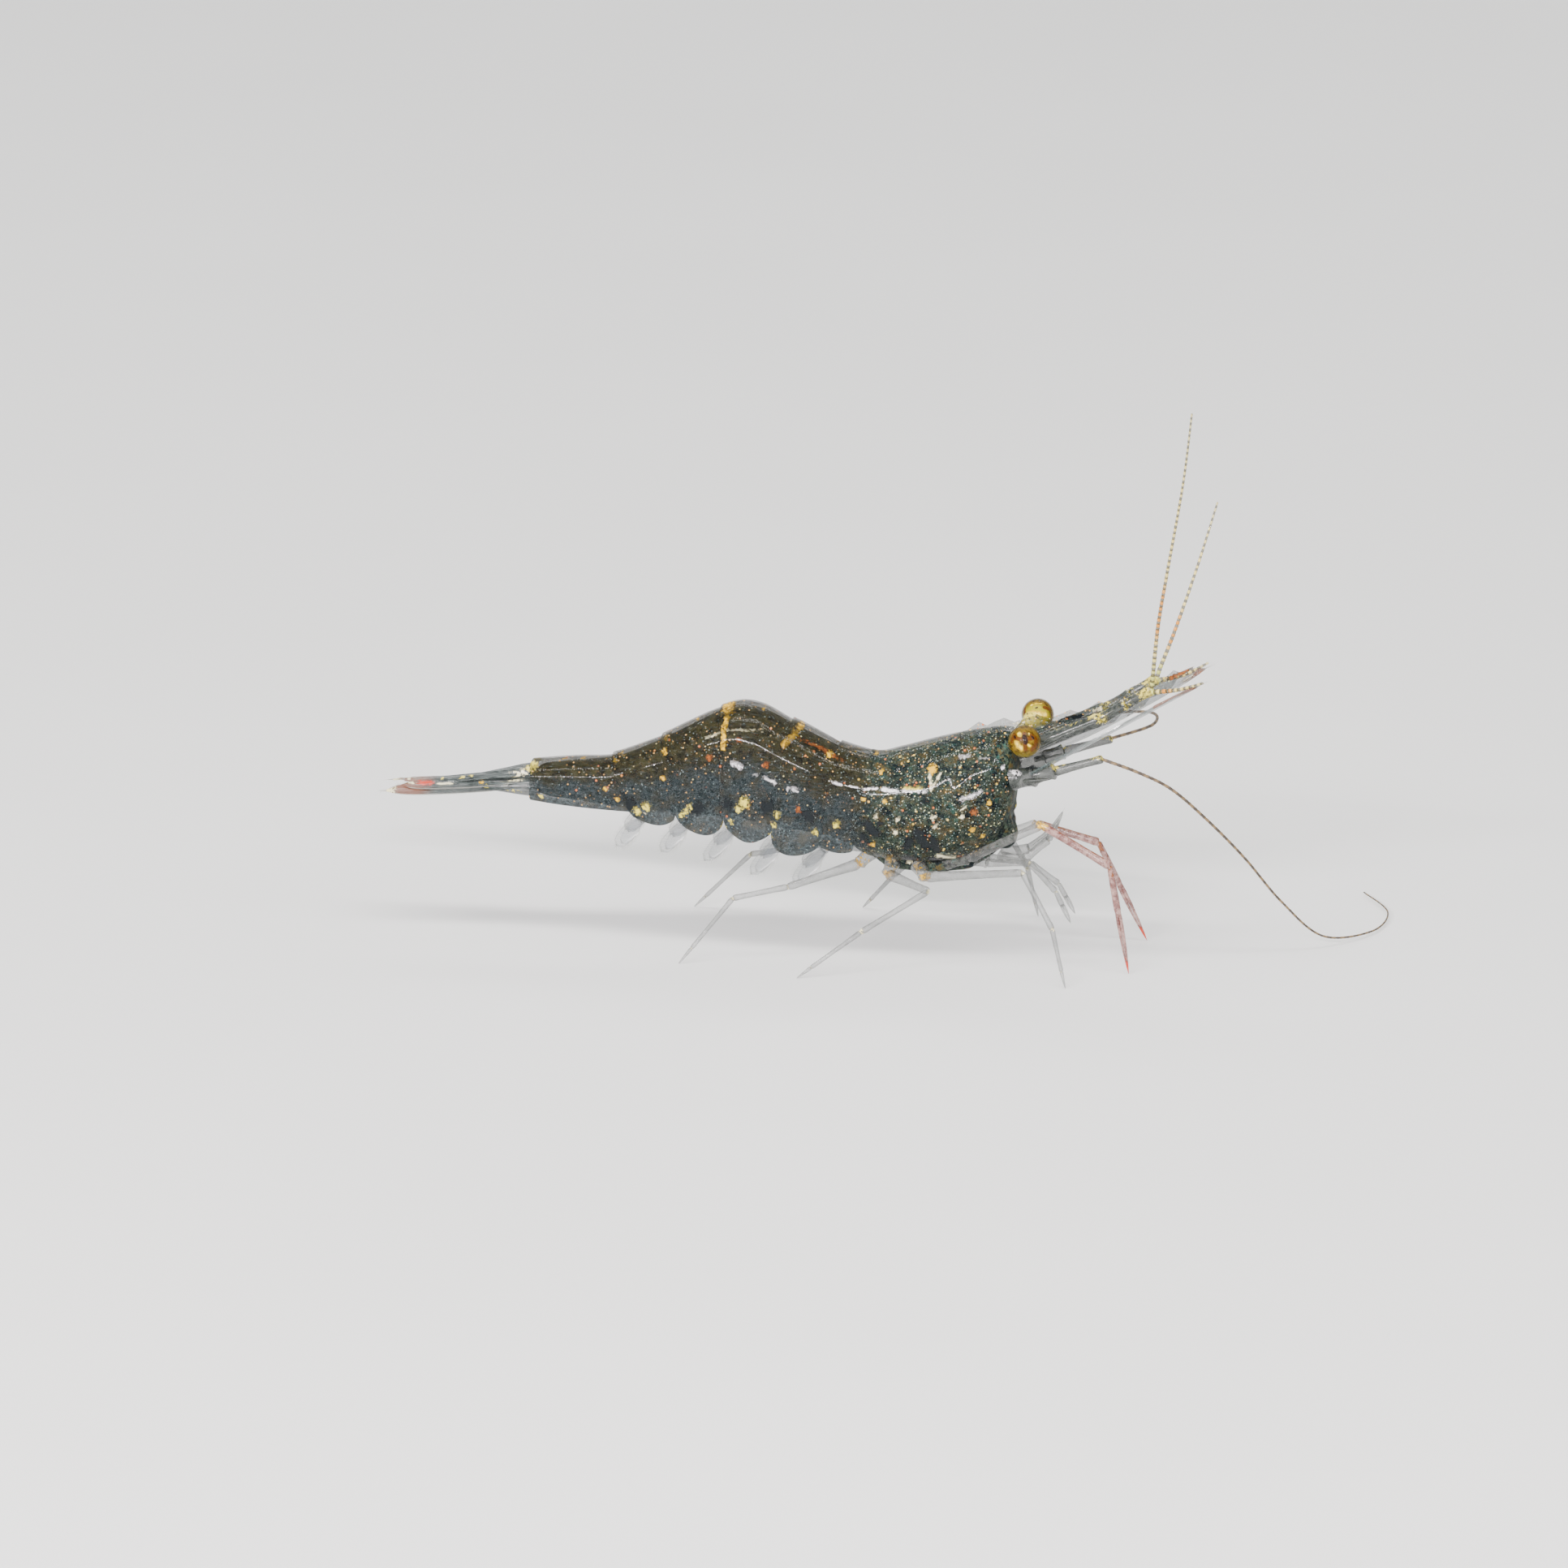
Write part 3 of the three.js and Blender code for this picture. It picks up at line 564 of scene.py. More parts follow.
# %% Where the pigment lies
BODY_MARKS = [
    # the gold club and the pale line over the hump
    ("gold", 0.30, (-3.76, -0.15, 11.2), (-3.76, -0.5, 11.05)),
    ("gold", 0.12, (-3.75, -0.9, 10.85), (-3.82, -1.3, 10.4), (-3.77, -1.62, 9.7)),
    ("cream", 0.05, (-4.72, -1.28, 9.96), (-3.66, -1.32, 10.42), (-2.08, -1.30, 10.46)),
    ("gold", 0.17, (-0.47, -0.2, 10.4), (-0.77, -1.06, 10.1), (-1.04, -1.4, 9.85)),
    ("rust", 0.075, (-0.52, -0.9, 10.06), (0.03, -0.85, 9.9), (0.68, -0.85, 9.6), (1.1, -0.95, 9.35),
     (1.68, -1.05, 9.08)), ("gold", 0.13, (1.0, -0.95, 9.4)),
    ("rust", 0.15, (-4.43, -1.64, 9.17)), ("rust", 0.13, (-3.09, -1.58, 10.07)), ("rust", 0.14, (-1.81, -1.9, 9.05)),
    # painted highlights: near-white streaks where the wet shell shines along the flank, a straw stroke as the gold
    # middle of one, and patches on the back and front of the head
    ("painted_highlight", 0.12, (-3.34, -1.72, 9.05), (-2.95, -1.80, 8.88)), ("painted_highlight", 0.085, (-1.86, -1.86, 8.42), (-1.40, -1.92, 8.22)),
    ("painted_highlight", 0.07, (-2.35, -1.80, 8.55), (-2.2, -1.84, 8.5)), ("painted_highlight", 0.08, (-0.75, -1.98, 7.98), (-0.35, -2.0, 7.92)),
    ("painted_highlight", 0.05, (2.7, -1.78, 8.05), (3.3, -1.84, 8.12)), ("painted_highlight", 0.09, (3.55, -1.9, 8.1), (4.25, -1.95, 8.08)),
    ("painted_highlight", 0.07, (4.5, -1.95, 8.14), (5.6, -2.0, 8.14)), ("straw", 0.09, (4.55, -1.92, 8.22), (5.35, -1.92, 8.26)),
    ("painted_highlight", 0.05, (1.2, -1.8, 8.35), (1.7, -1.8, 8.25)), ("painted_highlight", 0.04, (2.0, -1.8, 8.2), (2.4, -1.8, 8.1)),
    ("painted_highlight", 0.10, (7.25, -2.0, 7.92), (7.75, -1.95, 8.06), (8.05, -1.9, 8.2)),
    ("painted_highlight", 0.09, (6.95, -1.15, 9.62), (7.45, -1.15, 9.68)), ("painted_highlight", 0.06, (7.85, -1.2, 9.6), (8.3, -1.2, 9.62)),
    ("painted_highlight", 0.09, (9.0, -1.5, 9.3)), ("painted_highlight", 0.12, (9.35, -1.3, 9.0), (9.5, -1.2, 8.8)), ("painted_highlight", 0.07, (9.4, -1.2, 9.5)),
    # small gold dots along the back and the sides
    ("gold", 0.15, (-6.58, -0.44, 9.63)), ("gold", 0.14, (-6.6, -0.96, 9.2)), ("gold", 0.12, (-6.64, -1.42, 8.0)),
    ("gold", 0.16, (-8.74, -0.12, 8.68)), ("gold", 0.14, (-8.95, -0.56, 8.46)), ("gold", 0.11, (-11.42, -0.1, 8.24)),
    ("gold", 0.12, (-10.53, -0.11, 8.35)), ("gold", 0.11, (-9.32, -1.14, 7.28)), ("gold", 0.11, (-8.78, -1.17, 6.82)),
    ("gold", 0.11, (-5.2, -0.2, 10.5)), ("gold", 0.1, (-2.2, -0.3, 11.15)), ("gold", 0.1, (2.1, -0.3, 9.3)),
    # the flaps of the rings
    ("straw", 0.21, (-7.42, -1.25, 6.62)), ("straw", 0.20, (-7.85, -1.22, 6.38)),
    ("straw", 0.13, (-5.35, -1.5, 6.8), (-5.75, -1.48, 6.35)), ("cream", 0.09, (-7.45, -1.25, 6.3)),
    ("straw", 0.24, (-2.78, -1.95, 7.25)), ("straw", 0.2, (-3.05, -1.93, 6.9)), ("gold", 0.1, (-2.6, -1.95, 7.0)), ("straw", 0.15, (-3.38, -1.8, 6.27)),
    ("straw", 0.16, (-3.78, -1.7, 5.95)), ("straw", 0.17, (-1.25, -2.03, 6.74)), ("straw", 0.14, (-1.39, -1.98, 6.27)),
    ("straw", 0.15, (-1.52, -1.92, 5.72)), ("rust", 0.13, (-0.27, -2.1, 7.06)), ("straw", 0.15, (0.51, -1.98, 6.0)),
    ("straw", 0.16, (1.48, -2.06, 6.41)), ("straw", 0.13, (1.57, -1.82, 4.6)),
    ("ink", 0.3, (-8.17, -1.2, 6.7)), ("ink", 0.32, (-4.97, -1.6, 6.75)), ("ink", 0.3, (-3.62, -1.8, 7.1)),
    ("ink", 0.34, (-1.72, -2.0, 7.1)), ("ink", 0.34, (0.2, -2.05, 6.75)),
    # the thorax
    ("gold", 0.22, (5.81, -1.66, 9.1)), ("cream", 0.06, (5.7, -1.75, 8.95), (5.83, -2.06, 8.27), (6.2, -1.75, 8.95)),
    ("gold", 0.12, (3.0, -0.21, 9.26)), ("gold", 0.11, (3.43, -1.37, 8.78)), ("cream", 0.12, (5.95, -2.3, 7.03)),
    ("cream", 0.11, (3.28, -2.15, 6.88)), ("cream", 0.11, (4.31, -2.25, 6.8)), ("cream", 0.11, (6.05, -2.3, 6.6)),
    ("gold", 0.11, (7.7, -2.09, 6.46)), ("cream", 0.11, (7.31, -2.18, 7.5)), ("cream", 0.11, (7.25, -2.2, 7.11)),
    ("gold", 0.11, (8.46, -1.94, 7.72)), ("gold", 0.11, (8.14, -1.82, 6.09)), ("cream", 0.1, (4.22, -2.25, 6.2)),
    ("gold", 0.11, (2.68, -1.95, 7.61)), ("gold", 0.11, (3.69, -2.05, 7.62)), ("gold", 0.11, (3.13, -1.95, 5.48)),
    ("gold", 0.11, (7.75, -1.4, 5.1)), ("rust", 0.16, (7.79, -2.13, 7.29)), ("rust", 0.14, (7.0, -1.45, 4.9)),
    # the cream dot at the front under the eye, at x 9.62, is a painted highlight
    ("cream", 0.12, (6.1, -1.75, 5.06), (6.75, -1.35, 4.85)), ("cream", 0.09, (9.62, -1.05, 9.1)),
    ("gold", 0.2, (2.64, -0.98, 4.79)), ("gold", 0.22, (3.77, -0.95, 4.54)), ("cream", 0.16, (4.69, -1.0, 4.5)),
    ("ink", 0.24, (2.9, -2.1, 6.5), (3.3, -2.15, 6.1)), ("ink", 0.18, (3.5, -2.1, 6.6)), ("ink", 0.2, (2.7, -2.0, 5.9)),
    ("ink", 0.28, (5.3, -2.25, 6.25), (5.6, -2.25, 5.7)), ("ink", 0.2, (6.0, -2.2, 5.9), (6.1, -2.2, 5.4)),
    ("ink", 0.2, (4.9, -2.2, 5.9), (4.7, -2.1, 5.5)), ("ink", 0.4, (4.78, -1.3, 4.7)),
    ("ink", 0.36, (5.9, -1.4, 4.8)),
    # the lip and the jaws
    ("straw", 0.07, (9.48, -0.10, 7.1), (9.43, -0.35, 6.98)), ("ink", 0.10, (9.35, 0, 6.72), (9.3, -0.05, 6.0)),
    ("rust", 0.08, (9.38, -0.55, 6.45)), ("cream", 0.06, (9.36, -0.42, 6.0), (9.28, -0.6, 5.85)),
    # the root of the tail fan
    ("straw", 0.30, (-12.82, -0.44, 7.95)), ("straw", 0.13, (-12.34, -0.95, 6.73)),
]


def tint(piece):
    """The values that the shell and the flesh both read: pigment, height on the body and how far into the thorax."""
    paint(piece, BODY_MARKS, both_sides=True)
    points = points_of(piece)
    give(piece, "height", height_on_body(points))
    give(piece, "thorax", np.clip((points[:, 0] - 1.6) / 2.2, 0, 1))


tint(body_flesh)
hand_over(body_flesh, "flesh", flesh, "flesh", "thorax_underside", "mouthparts", smooth=80)

# %% [markdown]
# ## The plates of the shell
# A real plate is a sheet that wraps the body and hangs free along its lower edge, with each plate's hind edge
# over the front of the next. Cutting them from one tube would leave no overlap. So each plate starts as a flat
# grid, like a tailor's pattern, and is wrapped over the body's plan. Solidify then gives it a wall.

# %% A flat grid, wrapped and thickened
WALL = 0.06


def wrapped_grid(along, across, shape, name):
    """A grid moved by shape(u, v): u runs 0 to 1 along the animal and v runs -1 to 1 across it."""
    only()
    bpy.ops.mesh.primitive_grid_add(x_subdivisions=along, y_subdivisions=across, size=2.0)
    sheet = bpy.context.object
    sheet.name = name
    for vertex in sheet.data.vertices:
        vertex.co = Vector(shape((vertex.co.x + 1) / 2, vertex.co.y))
    return sheet


def thicken(sheet, wall=WALL, offset=-1.0):
    return modify(sheet, "SOLIDIFY", thickness=wall, offset=offset, use_even_offset=False)


def bell(value, centre, width):
    """A smooth bump: 1 at its centre, and next to nothing two widths away."""
    return math.exp(-((value - centre) / width) ** 2)


print("every plate gets a wall of", WALL, "mm")


# %% [markdown]
# ## The carapace
# The carapace is one shield over the head and chest, open below, with a hollow behind each eye, two small
# spines under it and a groove across the cheek. Its outline isn't cut out afterwards: the front and rear edges
# are written as curves of the angle from the back, and the grid's rows simply run between them.

# %% The carapace
def front_edge(angle):
    """How far forward the carapace reaches at an angle from the back: it hollows behind the eye, juts at two
    spines below it and rounds off at its lower corner."""
    reach = 0.72 + 0.75 * bell(angle, 48, 22) - 0.60 * bell(angle, 84, 6.5) - 0.42 * bell(angle, 106, 5.5)
    return reach + 1.9 * max(0.0, (angle - 112) / 42) ** 2


def rear_edge(angle):
    return WAIST + 0.14 + 0.10 * bell(angle, 70, 40) - 0.55 * max(0.0, (angle - 118) / 34) ** 2


def carapace_shape(u, v):
    angle = abs(v) * 152
    place = rear_edge(angle) + (front_edge(angle) - rear_edge(angle)) * u
    across, height = egg(math.copysign(angle, v))
    groove = 0.10 * bell(place - (1.9 + angle / 95), 0, 0.22) * bell(angle, 62, 34)
    swell = 0.10 * bell(place, 3.2, 1.1) * bell(angle, 95, 30) + 0.05 * bell(place, 1.6, 0.6) * bell(angle, 70, 25)
    rim = 0.05 * bell(u, 0, 0.03) + 0.03 * bell(u, 1, 0.03)
    return on_section(place, across, height, 0.05 + swell - groove + rim)


carapace = thicken(wrapped_grid(92, 180, carapace_shape, "carapace shell"))
tint(carapace)
hand_over(carapace, "shell_carapace", shell, "shell", "carapace")

# %% [markdown]
# ## The rings
# Each ring is an arch with a rounded flap on either side, and its hind edge lies over the next ring. The second
# ring's flaps lie over both their neighbours, which is how this kind of shrimp is told from others. All six
# come from one function, which takes the ring's place, the drop of its flap and how far the flap spreads.

# %% The six rings of the abdomen
ARCH = [(0, 1), (0.4, 0.93), (0.73, 0.7), (0.92, 0.38), (1, -0.05), (1.0, -0.5), (0.94, -0.84)]
RINGS = [  # front and rear place, how far the side flap hangs, and how far it spreads over its neighbours
    (5.0, 6.0, 0.06, 0.02), (6.0, 7.0, 0.26, 0.16), (7.0, 9.0, 0.20, 0.02), (9.0, 10.0, 0.24, 0.02),
    (10.0, 11.0, 0.22, 0.02), (11.0, 13.0, 0.0, 0.0),
]
for number, (front, rear, flap, spread) in enumerate(RINGS, start=1):
    def ring_shape(u, v, front=front, rear=rear, flap=flap, spread=spread):
        down = abs(v)
        low = max(0.0, (down - 0.72) / 0.28)
        lap = 0.10 + spread * low
        place = front - 0.04 - spread * low + (rear - front + lap + spread * low * 0.4) * u
        if rear < LAST:
            place += 0.12 * low * (1 - u) - 0.10 * low ** 2 * u * (flap > 0)
        else:
            place -= 0.10 * low ** 2 * u ** 3
        a, b = through(ARCH, down * (len(ARCH) - 1))
        hang = (flap + 0.03) * low * math.sqrt(max(0.0, math.sin(math.pi * min(max(u, 0.0), 1.0))))
        lift = -0.03 + 0.13 * u ** 1.5 + 0.06 * math.sin(math.pi * u) + 0.10 * low * (spread > 0.1)
        return on_section(place, math.copysign(a * (1 + 0.02 * low), v), b - hang, lift)

    steps = 26 + 14 * (rear - front > 1.5)
    ring = thicken(wrapped_grid(steps, 132, ring_shape, f"ring {number}"))
    tint(ring)
    hand_over(ring, f"shell_ring_{number}", shell, "shell", f"abdomen_ring_{number}")

# %% [markdown]
# ## The rostrum
# The snout is a thin toothed blade with a keel along each side. It could be cut from a plate, but its edges
# would be square. A ball is drawn out into a blade of lens-shaped section instead, and the teeth are raised
# along its upper and lower edges.

# %% The toothed blade
RIDGE = [(6.4, 10.25), (8.3, 10.85), (12.0, 11.5), (15.1, 12.78), (17.5, 14.02)]
DEPTH = [(0.35,), (0.62,), (0.92,), (0.62,), (0.06,)]


def saw(share, start, end, count):
    """Teeth that lean forwards: 0 at each root and 1 at each tip."""
    if not start < share < end:
        return 0.0
    turn = (share - start) / (end - start) * count % 1
    return turn / 0.72 if turn < 0.72 else (1 - turn) / 0.28


def rostrum_shape(share, turn):
    share = share * 0.998
    x, z = through(RIDGE, share * 4)
    depth = float(through(DEPTH, share * 4)[0])
    height = (1 + math.cos(math.radians(turn))) / 2
    top = 0.24 * saw(share, 0.13, 0.92, 8) * max(0.0, height - 0.72) / 0.28
    low = 0.17 * saw(share, 0.56, 0.90, 3) * max(0.0, 0.28 - height) / 0.28
    round_off = min(1.0, share / 0.03, (1 - share) / 0.02 + 0.05)
    keel = 0.035 + 0.11 * bell(height, 0.42, 0.16)
    side = math.sin(math.radians(turn))
    thick = math.copysign(keel * min(1.0, abs(side) * 1.6) * (1 - 0.72 * share) * round_off, side) if side else 0.0
    return x - 0.35 * (top - low), thick, z - depth * (1 - height) + top - low


rostrum = wrapped_ball(28, 330, rostrum_shape, "rostrum")
paint(rostrum, [("cream", 0.10, (9.3, -0.12, 10.95), (9.9, -0.12, 11.05)), ("ink", 0.08, (11.4, 0, 11.15), (12.4, 0, 11.5)),
                ("rust", 0.09, (16.5, 0, 13.45), (17.2, 0, 13.85)), ("gold", 0.09, (14.4, 0, 12.3)),
                ("gold", 0.08, (13.2, 0, 11.8)), ("cream", 0.06, (12.9, 0, 11.75), (13.3, 0, 11.9))])
ROSTRUM_POINTS = points_of(rostrum)
give(rostrum, "height", np.full(len(ROSTRUM_POINTS), 0.3))
give(rostrum, "thorax", np.ones(len(ROSTRUM_POINTS)))
hand_over(rostrum, "shell_rostrum", shell, "shell", "rostrum", smooth=35)

# %% [markdown]
# ## The eyes
# Each eye is a ball on a short stalk. The gold is a layer of pigment deep in the ball, under thousands of tiny
# lenses, so it is made as two balls: a gold one inside, and a clear dome with a fine six-sided relief over it.
# A dark cleft and an amber rim are painted on the inner ball, and bright gold spots and pale crescents as painted
# highlights, facing outwards on both sides.

# %% Eye finishes
eye_gold = Finish("eye gold", {"Specular IOR Level": 0.12, "Coat Weight": 0.1, "Coat Roughness": 0.06})
grain = eye_gold.cloud(5.0, 4.0, 0.65)
broken = (grain - 0.5) * 2.0
colour = eye_gold.mix(grain.step(0.38, 0.62), (0.052, 0.027, 0.001), (0.175, 0.105, 0.003))
colour = eye_gold.mix(eye_gold.painted("low").step(0.35, 0.9) * 0.8, colour, (0.17, 0.145, 0.004))
colour = eye_gold.mix(eye_gold.painted("inward").step(0.30, 0.75) * 0.85, colour, (0.36, 0.33, 0.012))
# painted highlights: bright gold spots and pale crescents over the eye's gold
colour = eye_gold.mix((eye_gold.painted("painted_shine") + broken).step(0.25, 0.8), colour, (0.50, 0.33, 0.014))
colour = eye_gold.mix((eye_gold.painted("painted_shine") + broken).step(0.85, 1.2), colour, (0.88, 0.70, 0.15))
colour = eye_gold.mix((eye_gold.painted("amber") + broken).step(0.25, 0.75), colour, (0.095, 0.030, 0.002))
colour = eye_gold.mix((eye_gold.painted("cleft") + broken * 0.6).step(0.25, 0.6), colour, (0.012, 0.003, 0.002))
eye_gold.link("Base Color", colour)
eye_gold.link("Roughness", grain * 0.3 + 0.15)
eye_gold.bump(eye_gold.cells(22.0), 0.01)

cornea = Finish("eye dome", {"Base Color": (0.085, 0.055, 0.004, 1), "Roughness": 0.03, "IOR": 1.4,
                             "Specular IOR Level": 0.15})
around_rim = cornea.node("ShaderNodeLayerWeight", {}, {"Blend": 0.4}, output="Facing")
cornea.link("Alpha", around_rim.step(0.25, 1.0) * 0.80 + 0.03)
cornea.bump(cornea.cells(26.0), 0.003)
eye_gold.tell()
cornea.tell()

# %% [markdown]
# ## Two balls for each eye
# The inner ball carries the gold, and the dome fits over it with a gap of four hundredths of a millimetre. The
# spots are given on the disc that each face shows, as on a button, and are carried from there to the ball.

# %% The eyes
EYE_RADIUS, GOLD_RADIUS = 0.75, 0.71
EYE_ACROSS, EYE_UP = np.array([0.9877, 0.1564, 0.0]), np.array([-0.0457, 0.2888, 0.9563])


def on_eye(centre, way, across, up, radius):
    """A point on an eye's face, given on the disc that the face shows. `way` is -1 for the animal's right."""
    out = np.array(VIEW_BACK) * math.sqrt(max(0.0, 1 - across ** 2 - up ** 2))
    point = (EYE_ACROSS * across + EYE_UP * up + out) * radius
    return (centre[0] + point[0], centre[1] - way * point[1], centre[2] + point[2])


# On the disc: the value painted, its radius in radii of the eye, and its path. Outer face, then inner face. The shine
# spots are painted highlights.
OUTER_FACE = [
    ("painted_shine", 0.15, (-0.37, 0.52), (-0.34, 0.38)), ("painted_shine", 0.20, (-0.55, -0.14), (-0.42, -0.30), (-0.28, -0.42)),
    ("painted_shine", 0.10, (0.18, -0.20), (0.32, -0.28)), ("painted_shine", 0.055, (0.26, 0.54), (0.28, 0.44)),
    ("amber", 0.17, (0.45, 0.36), (0.74, 0.16), (0.70, -0.22), (0.50, -0.5)), ("amber", 0.16, (-0.70, 0.40), (-0.84, 0.05)),
    ("amber", 0.13, (-0.05, 0.5), (0.0, -0.12), (0.05, -0.55)), ("cleft", 0.15, (-0.04, 0.32), (0.02, 0.10), (0.05, -0.04)),
    ("amber", 0.13, (-0.64, 0.26), (-0.3, 0.16), (0.1, 0.16), (0.5, 0.26)), ("cleft", 0.07, (-0.68, 0.34), (-0.62, 0.24)),
    ("cleft", 0.07, (0.46, 0.32), (0.56, 0.20)),
]
INNER_FACE = [
    ("painted_shine", 0.20, (-0.66, 0.02), (-0.1, 0.10), (0.46, -0.04)), ("painted_shine", 0.16, (-0.3, -0.42), (0.42, -0.45)),
    ("painted_shine", 0.07, (-0.45, 0.60), (0.20, 0.72)), ("amber", 0.14, (-0.86, 0.36), (-0.84, 0.02)),
    ("amber", 0.12, (0.40, 0.46), (0.72, 0.34)), ("cleft", 0.05, (-0.15, 0.42), (-0.05, 0.46)),
]


for side, sign in SIDES.items():
    centre = (EYE_CENTRE[0], EYE_CENTRE[1] * sign, EYE_CENTRE[2])
    inner = ball(centre, GOLD_RADIUS, (1, 0.98, 1), 60)
    points = points_of(inner)
    fields = dict.fromkeys(("painted_shine", "amber", "cleft"), np.zeros(len(points)))
    for way, face in ((sign, OUTER_FACE), (-sign, INNER_FACE)):
        for value, radius, *path in face:
            reach = distance_to(points, [on_eye(centre, way, *spot, GOLD_RADIUS) for spot in path])
            fields[value] = np.maximum(fields[value], np.clip(1.5 - reach / (radius * GOLD_RADIUS), 0, 1))
    for value, field in fields.items():
        give(inner, value, field)
    give(inner, "low", np.clip((centre[2] - points[:, 2]) / GOLD_RADIUS, 0, 1))
    give(inner, "inward", np.clip((centre[1] - points[:, 1]) * sign / GOLD_RADIUS, 0, 1))
    hand_over(inner, f"eye_gold_{side}", eye_gold, "eye", f"eye_{side}", smooth=80)
    dome = ball(centre, EYE_RADIUS, (1, 1, 1), 44)
    hand_over(dome, f"eye_dome_{side}", cornea, "eye", f"eye_{side}", smooth=80)

# %% [markdown]
# ## Limbs, turned length by length
# A shrimp's leg is a row of stiff tubes with a soft joint between each two. Every length is turned like a table
# leg: a ring of points is extruded from station to station and resized, so it swells before each joint and
# narrows in it. The lengths are then laid from joint to joint and joined into one limb.

# %% Turning a length and laying it between two joints
def turned(stations, sides=12, name="length"):
    """A round length along +X through stations (x, radius, sideways, upwards), closed at both ends."""
    only()
    x, radius, y, z = (*stations[0], 0, 0)[:4]
    bpy.ops.mesh.primitive_circle_add(vertices=sides, radius=radius, fill_type="NGON", location=(x, y, z),
                                      rotation=(0, math.pi / 2, 0))
    piece = settle(bpy.context.object)
    piece.name = name
    bpy.ops.object.mode_set(mode="EDIT")
    bpy.ops.mesh.select_all(action="SELECT")
    for station in stations[1:]:
        nx, nr, ny, nz = (*station, 0, 0)[:4]
        bpy.ops.mesh.extrude_region_move(TRANSFORM_OT_translate={"value": (nx - x, ny - y, nz - z)})
        grow = nr / radius
        bpy.ops.transform.resize(value=(1, grow, grow), center_override=(nx, ny, nz))
        x, radius, y, z = nx, nr, ny, nz
    bpy.ops.mesh.select_all(action="SELECT")
    bpy.ops.mesh.normals_make_consistent(inside=False)
    bpy.ops.object.mode_set(mode="OBJECT")
    return piece


def laid(piece, start, end, roll=0.0):
    """Lay a length made along +X from one joint towards another."""
    along = (Vector(end) - Vector(start)).normalized()
    turn = along.to_track_quat("X", "Z").to_matrix().to_4x4() @ Matrix.Rotation(math.radians(roll), 4, "X")
    piece.matrix_world = Matrix.Translation(start) @ turn
    return settle(piece)


def tube(start, end, first, last, sides=12, neck=0.72, swell=1.16):
    """A leg length: a narrow neck, a slim shaft and a swelling before the next joint."""
    length = (Vector(end) - Vector(start)).length
    shaft = lambda share: first + (last - first) * share
    stations = [(-0.02, first * neck * 0.6), (0.0, first * neck)] + [
        (length * share, shaft(share) * size) for share, size in
        ((0.05, 1.02), (0.12, 1.0), (0.35, 0.93), (0.65, 0.94), (0.85, 1.04), (0.94, swell), (0.985, swell * 0.9))]
    stations += [(length, last * neck), (length + 0.02, last * neck * 0.6)]
    return laid(turned(stations, sides), start, end)


def claw_tip(start, end, radius, sides=10, droop=0.0):
    """The last length of a leg: it tapers to a point and curves a little."""
    length = (Vector(end) - Vector(start)).length
    stations = [(0.0, radius * 0.7)] + [
        (length * share, radius * size, 0, droop * 4 * share * (1 - share)) for share, size in
        ((0.06, 1.0), (0.3, 0.85), (0.6, 0.62), (0.82, 0.42), (0.95, 0.24), (1.0, 0.08))]
    return laid(turned(stations, sides), start, end)


def jointed(joints, radii, tip=True):
    """A whole leg: tubes from joint to joint, the last one a pointed tip."""
    lengths = [tube(a, b, radii[i], radii[i + 1]) for i, (a, b) in enumerate(zip(joints[:-2], joints[1:-1]))]
    last = claw_tip if tip else tube
    lengths.append(last(joints[-2], joints[-1], radii[-2], *(() if tip else (radii[-1],))))
    return joined(lengths)


print("lathe, tubes and tips are ready")


# %% [markdown]
# The legs are clear as water with a smoky edge, and their joints catch the light as small pale dots. The claws
# are warmer: rose with a rust edge, gold at the elbow and red at the fingertips.

# %% Finishes of the limbs
def clear_limb(name, dark, light, film, edge, beyond=None):
    """A thin clear tube: more of it is seen at its edges than in its middle. `beyond` is a second pair of
    colours and a denser film for where the value "rosy" is painted."""
    finish = Finish(name, {"IOR": 1.42, "Coat Weight": 0.5, "Coat Roughness": 0.1})
    streaks = finish.cloud(4.0, 4.0, 0.65)
    edge_on = finish.node("ShaderNodeLayerWeight", {}, {"Blend": 0.45}, output="Facing")
    colour = finish.mix(streaks.step(0.35, 0.65), dark, light)
    alpha = edge_on * edge + film + (streaks - 0.5) * 0.25
    if beyond:
        rosy = finish.painted("rosy")
        colour = finish.mix(rosy, colour, finish.mix(streaks.step(0.35, 0.65), beyond[0], beyond[1]))
        alpha = alpha + rosy * beyond[2]
    colour, alpha = add_marks(finish, colour, alpha)
    finish.link("Base Color", colour)
    finish.link("Alpha", alpha)
    finish.link("Roughness", streaks * 0.25 + 0.14)
    finish.bump(streaks + finish.cells(9.0) * 0.3, 0.012)
    return finish


limb = clear_limb("clear limb", (0.07, 0.075, 0.072), (0.24, 0.25, 0.24), 0.34, 0.42)
claw = clear_limb("rosy claw", (0.07, 0.075, 0.072), (0.22, 0.22, 0.21), 0.24, 0.4,
                  ((0.15, 0.040, 0.032), (0.38, 0.23, 0.20), 0.50))
feeler_base = clear_limb("feeler base", (0.010, 0.015, 0.013), (0.070, 0.078, 0.068), 0.66, 0.30)
for finish in (limb, claw, feeler_base):
    finish.tell()

# %% [markdown]
# ## The walking legs
# Six slender legs carry the animal, three on each side, and each ends in a plain pointed tip. Their joints are
# listed from the hip to the ground, and the last point of each leg is where it stands, so the feet are planted
# by numbers rather than by eye. Gold and rust sit at the hips, and a pale dot at each knee.

# %% Walking legs
def dots(joints, kind="cream", size=0.10):
    return [(kind, size, joint) for joint in joints]


